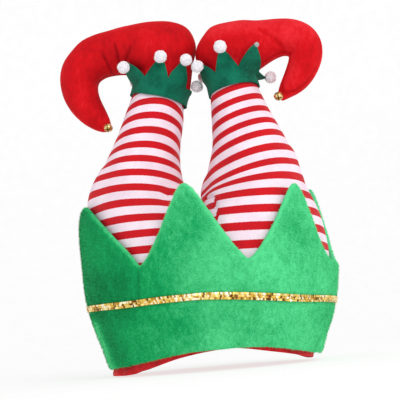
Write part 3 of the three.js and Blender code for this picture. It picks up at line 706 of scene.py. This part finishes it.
def sequinTree():
    inputs = {"Spacing": 1.0, "Radius": 1.0, "Thickness": 1.0, "Facets": 12, "Seed": 1, "Material": None}
    tree, source, result = newTree("sequins", inputs)
    given = source.outputs
    steps = {"Curve": given["Geometry"], "Length": given["Spacing"]}
    line = addNode(tree, "GeometryNodeResampleCurve", steps, mode="LENGTH")
    plate = {"Vertices": given["Facets"], "Radius": given["Radius"], "Depth": given["Thickness"]}
    disc = addNode(tree, "GeometryNodeMeshCylinder", plate, fill_type="TRIANGLE_FAN")
    tangent = addNode(tree, "GeometryNodeInputTangent").outputs[0]
    outward = vectorNode(tree, "CROSS_PRODUCT", tangent, (0.0, 0.0, 1.0))
    face = addNode(tree, "FunctionNodeAlignRotationToVector", {"Vector": outward}, axis="Z")
    along = {"Rotation": face.outputs[0], "Vector": tangent}
    turned = addNode(tree, "FunctionNodeAlignRotationToVector", along, axis="X", pivot_axis="Z")
    wobble = randomNode(tree, (-0.35, -0.35, -0.2), (0.35, 0.35, 0.2), given["Seed"])
    tip = addNode(tree, "FunctionNodeEulerToRotation", {0: wobble})
    both = {"Rotation": turned.outputs[0], "Rotate By": tip.outputs[0]}
    tipped = addNode(tree, "FunctionNodeRotateRotation", both, rotation_space="LOCAL")
    places = {"Points": line.outputs[0], "Instance": disc.outputs["Mesh"], "Rotation": tipped.outputs[0]}
    discs = addNode(tree, "GeometryNodeInstanceOnPoints", places)
    # a random painted glint for each sequin
    paintedGlint = addNode(tree, "FunctionNodeRandomValue", {2: 0.0, 3: 1.0, "Seed": 11}, data_type="FLOAT")
    mark = {"Geometry": discs.outputs[0], "Name": "paintedGlint", "Value": paintedGlint.outputs[1]}
    marked = addNode(tree, "GeometryNodeStoreNamedAttribute", mark, data_type="FLOAT", domain="INSTANCE")
    return finishTree(tree, marked.outputs[0], source, result)


def goldMaterial():
    material, tree, shader = newMaterial("gold_sequin", Metallic=0.7, Roughness=0.3)
    # painted reflections and glints: each sequin a random tone from dark brown to near white, with slow
    # dark patches
    stops = [(0.0, "dark"), (0.12, "brown"), (0.3, "mid"), (0.72, "bright"), (0.9, "white")]
    patch = mathNode(tree, "SUBTRACT", noiseNode(tree, 110.0, 2.0), 0.52)
    paintedGlint = mathNode(tree, "MULTIPLY_ADD", patch, 1.6, attributeNode(tree, "paintedGlint"))
    paint(tree, shader, paintedGlint, [(at, gold[tone]) for at, tone in stops])
    return material


def bandMaterial():  # the ribbon that the sequins are sewn on
    material, tree, shader = newMaterial("gold_ribbon", Metallic=0.5, Roughness=0.45)
    thread = noiseNode(tree, 1400.0, 2.0)
    paint(tree, shader, thread, [(0.35, gold["brown"]), (0.6, gold["band"])])
    bumpNode(tree, shader, thread, 0.4, 0.2)
    return material


def ringCurve(name, rings):  # closed lines through places in millimetres
    data = bpy.data.curves.new(name, "CURVE")
    data.dimensions = "3D"
    for places in rings:
        spline = data.splines.new("POLY")
        spline.points.add(len(places) - 1)
        for point, place in zip(spline.points, places):
            point.co = (*((place + hatMiddle) * mm), 1)
        spline.use_cyclic_u = True
    piece = bpy.data.objects.new(name, data)
    scene.collection.objects.link(piece)
    return piece


def makeBand(material):  # a thin ribbon right round the cuff
    angles = np.linspace(0, 360, 240, endpoint=False)
    seat = body["layerGap"] + cuff["wall"] - 0.4
    rows = [(-1, 0), (-1, 0.8), (-0.9, 1.1), (0.9, 1.1), (1, 0.8), (1, 0)]  # up in half widths, out
    half = trim["width"] / 2
    rings = [aroundHat(angles, trimMiddle(angles) + up * half, seat + out) for up, out in rows]
    corners = (np.concatenate(rings) + hatMiddle) * mm
    piece = meshFrom("trim_ribbon", corners, tubeFaces(len(rows), len(angles)), smooth=False)
    piece.data.materials.append(material)
    return piece


def makeTrim(material):
    angles = np.linspace(0, 360, 180, endpoint=False)
    lift = body["layerGap"] + cuff["wall"] + 1.1
    rings = [aroundHat(angles + row, trimMiddle(angles) + row, lift) for row in trim["rows"]]
    line = ringCurve("trimLine", rings)
    modifier = line.modifiers.new("nodes", "NODES")
    modifier.node_group = sequinTree()
    values = {
        "Spacing": trim["spacing"] * mm,
        "Radius": trim["disc"] * mm,
        "Thickness": trim["plate"] * mm,
        "Facets": trim["facets"],
        "Seed": 3,
        "Material": material,
    }
    setInputs(modifier, modifier.node_group, values)
    graph = bpy.context.evaluated_depsgraph_get()
    piece = bpy.data.objects.new("trim_sequins", bpy.data.meshes.new_from_object(line.evaluated_get(graph)))
    scene.collection.objects.link(piece)
    bpy.data.objects.remove(line)
    return piece


trimPiece = makeTrim(goldMaterial())
ribbonPiece = makeBand(bandMaterial())
print("trim made:", len(trimPiece.data.polygons), "faces")


# Lining: thin red cloth whose hem hangs under the cuff
lining = {
    "ruffles": [  # how far the hem swings out, over how many degrees and up to what height
        {"angle": 281, "out": 7.0, "wide": 12, "reach": 12, "curl": 3},
        {"angle": 295, "out": -5.0, "wide": 2.2, "reach": 12, "curl": 3},
        {"angle": 302, "out": 5.0, "wide": 7, "reach": 11},
        {"angle": 309, "out": -1.6, "wide": 2.5, "reach": 20},
        {"angle": 330, "out": -0.8, "wide": 6, "reach": 26},
        {"angle": 78, "out": 1.0, "wide": 6, "reach": 20},
        {"angle": 150, "out": -1.0, "wide": 8, "reach": 26},
        {"angle": 215, "out": 1.2, "wide": 7, "reach": 26},
        {"angle": 250, "out": -1.0, "wide": 6, "reach": 26},
    ],
    "lifts": [  # where the hem hangs less low
        {"angle": 72, "up": 3.6, "wide": 30, "reach": 20},
        {"angle": 324, "up": 3.4, "wide": 11, "reach": 20},
    ],
    "pushes": [{"x": 108, "z": 0, "wide": 24, "high": 24, "moveX": -4}],
    "deep": linear(184, 14, 22),
    "mid": linear(226, 28, 36),
}


def liningMaterial():
    material, tree, shader = newMaterial(
        "red_lining", Roughness=0.7, Sheen_Weight=0.05, Sheen_Roughness=0.5, Specular_IOR_Level=0.2
    )
    cloth = noiseNode(tree, 90.0, 4.0)
    paint(tree, shader, cloth, [(0.35, lining["deep"]), (0.6, lining["mid"])])
    weave = addNode(tree, "ShaderNodeTexVoronoi", {"Scale": 1600.0}).outputs["Distance"]
    bumpNode(tree, shader, weave, 0.25, 0.2)
    return material


def makeLining(material):
    piece = copyOf("lining", "lining_cloth")
    modify(piece, "SUBSURF", levels=2, render_levels=2)
    settle(piece)
    corners = cornersOf(piece)
    angles = np.degrees(np.arctan2(corners[:, 0], -corners[:, 1]))

    def swell(fold):
        off = (angles - fold["angle"] + 180) % 360 - 180
        share = np.clip(corners[:, 2] / fold["reach"], 0, 1)
        near = 1 - share ** fold["curl"] if "curl" in fold else (1 - share) ** 1.3
        return np.exp(-((off / fold["wide"]) ** 2)) * near

    swing = sum(fold["out"] * swell(fold) for fold in lining["ruffles"])
    outward = corners * np.array([1.0, 1.0, 0.0])
    outward /= np.maximum(np.linalg.norm(outward, axis=1), 1)[:, None]
    raised = sum(fold["up"] * swell(fold) for fold in lining["lifts"])
    corners = corners + outward * swing[:, None] + np.array([0, 0, 1]) * raised[:, None]
    moveCorners(piece, corners)
    pushSoft(piece, lining["pushes"])
    piece.data.materials.append(material)
    return piece


liningPiece = makeLining(liningMaterial())
print("lining made:", len(liningPiece.data.polygons), "faces")


# Striped jersey legs. Rings of stripes: height of a ring at its middle, which ring it is, how it
# slopes outwards and backwards, and where its middle is
jersey = {
    "voxel": 2.0,
    "rounds": 6,
    "redShare": 0.48,
    "wales": 210,
    "courses": 1.1,
    "redDeep": linear(196, 14, 28),
    "red": linear(210, 10, 26),
    "whiteDeep": linear(240, 216, 230),
    "white": linear(250, 232, 243),
    "rings": {
        "left": [
            {"height": 60, "ring": 14.7, "slopeX": 0.0, "slopeY": 0.0, "x": -48, "y": -95},
            {"height": 98, "ring": 12, "slopeX": -0.03, "slopeY": 0.0, "x": -48, "y": -93},
            {"height": 143.6, "ring": 9, "slopeX": -0.05, "slopeY": -0.06, "x": -46.4, "y": -88},
            {"height": 159.2, "ring": 8, "slopeX": -0.06, "slopeY": -0.11, "x": -47.4, "y": -79},
            {"height": 191.2, "ring": 6, "slopeX": -0.05, "slopeY": -0.15, "x": -47.4, "y": -55},
            {"height": 234.7, "ring": 3, "slopeX": -0.03, "slopeY": -0.36, "x": -40.4, "y": -40},
            {"height": 264.3, "ring": 1, "slopeX": -0.08, "slopeY": -0.42, "x": -34.4, "y": -36},
            {"height": 290, "ring": -0.8, "slopeX": -0.1, "slopeY": -0.42, "x": -31.4, "y": -33},
        ],
        "right": [
            {"height": 60, "ring": 15, "slopeX": 0.0, "slopeY": 0.0, "x": 54, "y": -95},
            {"height": 108.6, "ring": 12, "slopeX": 0.0, "slopeY": -0.03, "x": 52, "y": -92},
            {"height": 125.1, "ring": 11, "slopeX": 0.0, "slopeY": -0.04, "x": 55.6, "y": -90},
            {"height": 156.8, "ring": 9, "slopeX": 0.02, "slopeY": -0.04, "x": 72.6, "y": -73},
            {"height": 173.3, "ring": 8, "slopeX": 0.14, "slopeY": -0.06, "x": 75.6, "y": -60},
            {"height": 189.7, "ring": 7, "slopeX": 0.28, "slopeY": -0.08, "x": 84.6, "y": -39},
            {"height": 219.5, "ring": 5, "slopeX": 0.28, "slopeY": -0.09, "x": 72.6, "y": -37},
            {"height": 244.9, "ring": 3, "slopeX": 0.27, "slopeY": -0.06, "x": 64.6, "y": -32},
            {"height": 270.1, "ring": 1, "slopeX": 0.24, "slopeY": 0.04, "x": 56.6, "y": -30},
            {"height": 290, "ring": -0.6, "slopeX": 0.22, "slopeY": 0.04, "x": 53.6, "y": -28},
        ],
    },
    "creases": {
        "left": [
            {"x": -109, "z": 160, "toX": -93, "toZ": 198, "deep": -4.8, "wide": 9, "round": True},
            {"x": -27.6, "z": 166, "toX": -14, "toZ": 171, "deep": 1.4, "wide": 1.8},
            {"x": -34, "z": 176, "toX": -16, "toZ": 182, "deep": 0.6, "wide": 3.0},
            {"x": -102, "z": 176, "toX": -86, "toZ": 182, "deep": 0.5, "wide": 3.0},
        ],
        "right": [
            {"x": 104, "z": 178, "toX": 93, "toZ": 206, "deep": -4.0, "wide": 7, "round": True},
            {"x": 3, "z": 160, "toX": 5, "toZ": 184, "deep": -3.5, "wide": 5, "round": True},
            {"x": 7.7, "z": 161.3, "toX": 20.8, "toZ": 157.6, "deep": 2.2, "wide": 1.6},
            {"x": 20.8, "z": 157.6, "toX": 24.4, "toZ": 142, "deep": 2.2, "wide": 1.6},
            {"x": 31.6, "z": 184, "toX": 51.6, "toZ": 192, "deep": 0.6, "wide": 3.0},
            {"x": 89.6, "z": 196, "toX": 101.6, "toZ": 189, "deep": 1.2, "wide": 2.2},
        ],
    },
    "pushes": {
        "left": [
            {"x": -4, "z": 264, "wide": 16, "high": 18, "moveX": -4},
            {"x": -8, "z": 216, "wide": 14, "high": 26, "moveX": -2.4},
        ],
        "right": [],
    },
    "tug": {"x": -22, "z": 168, "wide": 7, "shift": 0.18},  # a pucker that bends the left leg's stripes
    "fold": [  # the right leg's inner fold, from its outer end to its top, where the stripes jump
        {"x": 25.5, "z": 135},
        {"x": 24.4, "z": 142},
        {"x": 22.5, "z": 151.7},
        {"x": 20.8, "z": 157.6},
    ],
    "foldTop": {"x": 7.7, "z": 161.3, "shift": 0.5},
}


def ringOf(side, corners):  # which ring of stripes each corner lies on
    rows = jersey["rings"][side]
    height = corners[:, 2].copy()
    for _ in range(12):
        x, y = (readTable(rows, "height", key, height) for key in ("x", "y"))
        slopeX, slopeY = (readTable(rows, "height", key, height) for key in ("slopeX", "slopeY"))
        lean = slopeX * (corners[:, 0] - x) + slopeY * (corners[:, 1] - y)
        height = 0.5 * height + 0.5 * (corners[:, 2] - lean)
    heights = [row["height"] for row in rows]
    rings = np.interp(height, heights, [row["ring"] for row in rows])
    x, z = corners[:, 0], corners[:, 2]
    front = corners[:, 1] < 0
    if side == "left":
        tug = jersey["tug"]
        near = np.exp(-(((x - tug["x"]) ** 2 + (z - tug["z"]) ** 2) / tug["wide"] ** 2))
        return rings + tug["shift"] * near * np.sin((x - tug["x"]) / tug["wide"] * 2) * front, height
    fold, top = jersey["fold"], jersey["foldTop"]
    beside = np.interp(z, [row["z"] for row in fold], [row["x"] for row in fold]) - x
    under = np.interp(x, [top["x"], fold[-1]["x"]], [top["z"], fold[-1]["z"]]) - z
    inner = np.clip(np.minimum(beside, under) + 0.5, 0, 1) * front
    return rings - top["shift"] * inner, height


def jerseyMaterial():
    material, tree, shader = newMaterial(
        "striped_jersey", Roughness=0.8, Sheen_Weight=0.05, Sheen_Roughness=0.5, Specular_IOR_Level=0.2
    )
    ring = attributeNode(tree, "ring")
    ragged = mathNode(tree, "MULTIPLY_ADD", noiseNode(tree, 1300.0, 1.0), 0.05, -0.025)
    near = mathNode(tree, "ADD", ring, ragged)
    off = mathNode(tree, "ABSOLUTE", mathNode(tree, "SUBTRACT", near, mathNode(tree, "ROUND", near)))
    border = jersey["redShare"] / 2
    edge = rampNode(tree, off, [(border - 0.015, (0, 0, 0, 1)), (border + 0.015, (1, 1, 1, 1))])
    tone = noiseNode(tree, 60.0, 3.0)
    red = rampNode(tree, tone, [(0.3, jersey["redDeep"]), (0.65, jersey["red"])])
    white = rampNode(tree, tone, [(0.3, jersey["whiteDeep"]), (0.65, jersey["white"])])
    tree.links.new(mixNode(tree, edge, red, white), shader.inputs["Base Color"])
    waves = []
    for name, length in (("course", jersey["courses"]), ("wale", 1)):
        turns = mathNode(tree, "MULTIPLY", attributeNode(tree, name), 2 * math.pi / length)
        waves.append(mathNode(tree, "SINE", turns))
    knit = mathNode(tree, "MULTIPLY_ADD", waves[0], 0.5, waves[1])
    bumpNode(tree, shader, knit, 0.25, 0.15)
    return material


def makeLeg(side, material):
    piece = soften(copyOf(f"{side}_leg", f"{side}_leg_jersey"), jersey["voxel"], jersey["rounds"])
    pressCreases(piece, jersey["creases"][side])
    pushSoft(piece, jersey["pushes"][side])
    corners, normals = cornersOf(piece), normalsOf(piece)
    corners += normals * (lumps(corners, 24, 5) * 0.6)[:, None]
    moveCorners(piece, corners)
    rings, height = ringOf(side, corners)
    rows = jersey["rings"][side]
    middle = readTable(rows, "height", "x", height)
    turn = np.arctan2(corners[:, 0] - middle, -corners[:, 1])
    keep(piece, "ring", rings)
    keep(piece, "course", height)
    keep(piece, "wale", np.abs(turn) / (2 * math.pi) * jersey["wales"])
    piece.data.materials.append(material)
    return piece


knit = jerseyMaterial()
legs = {side: makeLeg(side, knit) for side in sides}
print("legs made:", [len(leg.data.polygons) for leg in legs.values()], "faces")


# Velour shoes, soles up, with a seam round the middle and pinch folds in the bend
shoe = {
    "voxel": 1.5,
    "rounds": 6,
    "seamDeep": 0.7,
    "seamWide": 1.1,
    "seamPlace": {"left": 0.0, "right": -7.0},  # in front of the shoe's middle
    "look": {
        "deep": linear(160, 2, 14),
        "mid": linear(212, 10, 22),
        "light": linear(246, 52, 62),
        "drift": 30,
        "driftShare": 0.5,
        "streak": 4,
        "streakShare": 0.35,
        "grain": 1.2,
        "grainShare": 0.25,
        "sheen": 0.25,
    },
    "napAndPaintedLight": {"left": (0.4, 0.5), "right": (0.5, 0.72)},  # painted light: how light the velour is painted at the front and on top, the right shoe lighter
    "creases": {
        "left": [
            {"x": -86, "z": 323, "toX": -78.8, "toZ": 302, "deep": 2.0, "wide": 1.6},
            {"x": -71.5, "z": 331, "toX": -68.3, "toZ": 304, "deep": 2.4, "wide": 1.5},
            {"x": -53.9, "z": 323.5, "toX": -63.7, "toZ": 307, "deep": 2.0, "wide": 1.5},
        ],
        "right": [
            {"x": 74.6, "z": 324, "toX": 88, "toZ": 312, "deep": 1.6, "wide": 2.6},
            {"x": 88, "z": 312, "toX": 95, "toZ": 304, "deep": 1.4, "wide": 2.4},
        ],
    },
}


def makeShoe(side, material):
    piece = soften(copyOf(f"{side}_shoe", f"{side}_shoe_velour"), shoe["voxel"], shoe["rounds"])
    # how deep the pinch folds are, for painted shade in them
    paintedCreaseShade = sum(creaseDepth(cornersOf(piece), crease) for crease in shoe["creases"][side])
    pressCreases(piece, shoe["creases"][side])
    corners, normals = cornersOf(piece), normalsOf(piece)
    low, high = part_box(f"{side}_shoe")
    middle = (low.y + high.y) / 2 / mm - hatMiddle[1]
    off = corners[:, 1] - middle - shoe["seamPlace"][side]
    seam = shoe["seamDeep"] * np.exp(-((off / shoe["seamWide"]) ** 2))
    corners += normals * (lumps(corners, 22, 8) * 0.5 - seam)[:, None]
    moveCorners(piece, corners)
    front, top = shoe["napAndPaintedLight"][side]
    # painted light: lighter where the velour faces up, with random nap tone
    nap = front + (top - front) * np.clip(normals[:, 2], 0, 1) + lumps(corners, 26, 9) * 0.12
    # painted shade in the pinch folds on the front and along the seam groove
    keep(piece, "napAndPaintedLight", nap - 0.1 * paintedCreaseShade * (normals[:, 1] < 0) - 0.25 * seam)
    piece.data.materials.append(material)
    return piece


velour = napMaterial("red_velour", shoe["look"])
shoes = {side: makeShoe(side, velour) for side in sides}
print("shoes made:", [len(piece.data.polygons) for piece in shoes.values()], "faces")


# Felt ankle cuffs, cut in zigzags
feltSheet = {
    "sharp": 35,  # degrees
    "turn": math.radians(25),  # where the outline turns by more, it keeps a point
    "hold": 3.0,  # how far a tip is drawn into its pompom
    "pushes": {
        "left": [
            {"x": 0, "z": 264, "wide": 17, "high": 14, "moveX": -4.5},
            {"x": -12.5, "z": 284, "wide": 4, "high": 6, "moveZ": 4.5},
            {"x": -42, "z": 262, "wide": 16, "high": 9, "moveZ": -1.5},
        ],
        "right": [],
    },
    "deep": linear(4, 78, 58),
    "mid": linear(8, 104, 78),
    "light": linear(20, 120, 92),
}


def feltMaterial():
    material, tree, shader = newMaterial(
        "dark_green_felt", Roughness=0.95, Sheen_Weight=0.05, Sheen_Roughness=0.6, Specular_IOR_Level=0.1
    )
    fibre = noiseNode(tree, 700.0, 4.0, 0.7)
    patch = noiseNode(tree, 60.0, 3.0)
    both = mathNode(tree, "MULTIPLY_ADD", fibre, 0.5, mathNode(tree, "MULTIPLY", patch, 0.5))
    stops = [(0.38, feltSheet["deep"]), (0.5, feltSheet["mid"]), (0.66, feltSheet["light"])]
    paint(tree, shader, both, stops)
    bumpNode(tree, shader, fibre, 0.5, 0.3)
    return material


def makeFelt(side, material):
    piece = copyOf(f"{side}_ankle_cuff", f"{side}_cuff_felt")
    work = bmesh.new()
    work.from_mesh(piece.data)
    edgeCrease = work.edges.layers.float.new("crease_edge")
    cornerCrease = work.verts.layers.float.new("crease_vert")
    least = math.radians(feltSheet["sharp"])
    sharp = [e for e in work.edges if e.is_manifold and e.calc_face_angle() > least]
    for edge in sharp:
        edge[edgeCrease] = 1.0
    for corner in work.verts:
        ends = [e.other_vert(corner).co - corner.co for e in corner.link_edges if e in sharp]
        if len(ends) >= 2 and min(math.pi - ends[0].angle(end) for end in ends[1:]) > feltSheet["turn"]:
            corner[cornerCrease] = 1.0
    work.to_mesh(piece.data)
    work.free()
    modify(piece, "SUBSURF", levels=3, render_levels=3)
    settle(piece)
    corners, normals = cornersOf(piece), normalsOf(piece)
    moveCorners(piece, corners + normals * (lumps(corners, 9, 12) * 0.25)[:, None])
    pushSoft(piece, feltSheet["pushes"][side])
    corners = cornersOf(piece)
    for node in pompomNodes:
        low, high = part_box(node)
        toMiddle = np.array((low + high) / 2) / mm - hatMiddle - corners
        far = np.linalg.norm(toMiddle, axis=1)
        near = np.exp(-(((far - max(high - low) / 2 / mm) / 4) ** 2)) * node.startswith(side)
        corners += toMiddle / far[:, None] * (near * feltSheet["hold"])[:, None]
    moveCorners(piece, corners)
    piece.data.polygons.foreach_set("use_smooth", [True] * len(piece.data.polygons))
    piece.data.materials.append(material)
    return piece


felt = feltMaterial()
pompomNodes = sorted(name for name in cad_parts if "pompom" in name)
felts = {side: makeFelt(side, felt) for side in sides}
print("felt made:", [len(piece.data.polygons) for piece in felts.values()], "faces")


# Pompoms of cut yarn
pompom = {
    "core": 0.88,
    "yarnLength": 1.0,
    "yarnWidth": 0.6,
    "density": 4.0,
    "deep": linear(243, 240, 247),
    "light": linear(255, 254, 255),
    "tuftDeep": linear(140, 158, 154),
    "tuft": linear(196, 204, 204),
    "lean": 0.15,
}


def yarnMaterial(name, deep, light):
    material, tree, shader = newMaterial(
        name, Roughness=0.95, Sheen_Weight=0.3, Sheen_Roughness=0.5, Specular_IOR_Level=0.1
    )
    yarn = noiseNode(tree, 600.0, 3.0)
    paint(tree, shader, yarn, [(0.3, deep), (0.62, light)])
    bumpNode(tree, shader, yarn, 0.5, 0.3)
    return material


def makePompom(node, material, seed):
    low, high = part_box(node)
    middle, radius = (low + high) / 2, max(high - low) / 2
    work = bmesh.new()
    bmesh.ops.create_icosphere(work, subdivisions=3, radius=1)
    corners = [middle + v.co * radius * pompom["core"] for v in work.verts]
    faces = [[v.index for v in f.verts] for f in work.faces]
    work.free()
    ball = meshFrom(f"{node}_core", corners, faces)
    bumps = lumps(cornersOf(ball), 3.5, seed) * radius / mm * 0.1
    moveCorners(ball, cornersOf(ball) + normalsOf(ball) * bumps[:, None])
    keep(ball, "pile", np.ones(len(corners)))
    share = radius / mm / 6.4
    hair = {
        "length": pompom["yarnLength"] * share,
        "width": pompom["yarnWidth"] * share ** 0.5,
        "density": pompom["density"] / share,
        "lean": pompom["lean"],
        "seed": seed,
    }
    yarn = makePile(ball, f"{node}_yarn", material, hair)
    ball.data.materials.append(material)
    return joined([ball, yarn], f"{node}_yarn")


def joined(pieces, name):
    first = pieces[0]
    with bpy.context.temp_override(active_object=first, selected_editable_objects=pieces):
        bpy.ops.object.join()
    first.name = first.data.name = name
    return first


whiteYarn = yarnMaterial("white_pompom", pompom["deep"], pompom["light"])
tuftYarn = yarnMaterial("worn_tuft", pompom["tuftDeep"], pompom["tuft"])
pompoms = {
    node: makePompom(node, tuftYarn if "tuft" in node else whiteYarn, seed)
    for seed, node in enumerate(pompomNodes, 20)
}
print("pompoms made:", len(pompoms))


# Jingle bells: a brass ball with a rolled waist, crossed slots and a loop
bell = {"wall": 0.5, "slot": 1.4, "slotReach": 0.78, "waist": 0.35, "loop": 1.6, "loopWire": 0.4, "tip": 50}


def brassMaterial():
    material, tree, shader = newMaterial("brass", Metallic=1.0, Roughness=0.28)
    # painted reflections: dark and pale patches over the brass
    reflectionPatches = noiseNode(tree, 260.0, 4.0)
    stops = [(0.3, linear(140, 104, 52)), (0.48, linear(216, 178, 104)), (0.68, linear(250, 230, 176))]
    paint(tree, shader, reflectionPatches, stops)
    bumpNode(tree, shader, reflectionPatches, 0.15, 0.2)
    return material


def makeBell(node, material):
    low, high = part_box(node)
    middle, radius = (low + high) / 2, (high.x - low.x) / 2
    work = bmesh.new()
    bmesh.ops.create_uvsphere(work, u_segments=64, v_segments=48, radius=radius)
    for corner in work.verts:
        height = corner.co.z / radius
        corner.co *= 1 + bell["waist"] * mm / radius * math.exp(-((height / 0.07) ** 2))
    slot, reach = bell["slot"] / 2 * mm, radius * bell["slotReach"]

    def inSlot(place):
        if place.z > -radius * 0.2:
            return False
        flat = sorted((abs(place.x), abs(place.y)))
        return flat[0] < slot and flat[1] < reach

    gone = [f for f in work.faces if inSlot(f.calc_center_median())]
    bmesh.ops.delete(work, geom=gone, context="FACES")
    turn = Matrix.Rotation(math.radians(-bell["tip"]), 4, "X")
    bmesh.ops.transform(work, matrix=turn, verts=work.verts)
    corners = [middle + v.co for v in work.verts]
    faces = [[v.index for v in f.verts] for f in work.faces]
    work.free()
    piece = meshFrom(f"{node}_brass", corners, faces)
    modify(piece, "SOLIDIFY", thickness=bell["wall"] * mm, offset=-1)
    settle(piece)
    piece.data.polygons.foreach_set("use_smooth", [True] * len(piece.data.polygons))
    wide, wire = bell["loop"] * mm, bell["loopWire"] * mm
    bpy.ops.mesh.primitive_torus_add(
        major_radius=wide, minor_radius=wire, major_segments=28, minor_segments=10
    )
    loop = bpy.context.object
    rise = Matrix.Translation(Vector((0, 0, radius + wide * 0.6)))
    stand = rise @ Matrix.Rotation(math.pi / 2, 4, "X")
    loop.data.transform(Matrix.Translation(middle) @ turn @ stand)
    loop.location = (0, 0, 0)
    loop.data.polygons.foreach_set("use_smooth", [True] * len(loop.data.polygons))
    piece.data.materials.append(material)
    loop.data.materials.append(material)
    return joined([piece, loop], f"{node}_brass")


brass = brassMaterial()
bells = {f"{side}_bell": makeBell(f"{side}_bell", brass) for side in sides}
print("bells made")


# Every piece rides with the hat and stands for its nodes
def dress(piece, slot, *nodes):
    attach(piece, "root")
    if nodes:
        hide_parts(*nodes)


dress(cuffPiece, "green_plush", "plush_cuff")
dress(cuffPile, "green_plush")
dress(trimPiece, "gold_sequin")
dress(ribbonPiece, "gold_sequin", "gold_trim")
dress(liningPiece, "red_lining", "lining")
for side in sides:
    dress(legs[side], "striped_jersey", f"{side}_leg")
    dress(shoes[side], "red_velour", f"{side}_shoe")
    dress(felts[side], "dark_green_felt", f"{side}_ankle_cuff")
for node, piece in bells.items():
    dress(piece, "brass", node)
for node, piece in pompoms.items():
    dress(piece, "white_pompom", node)
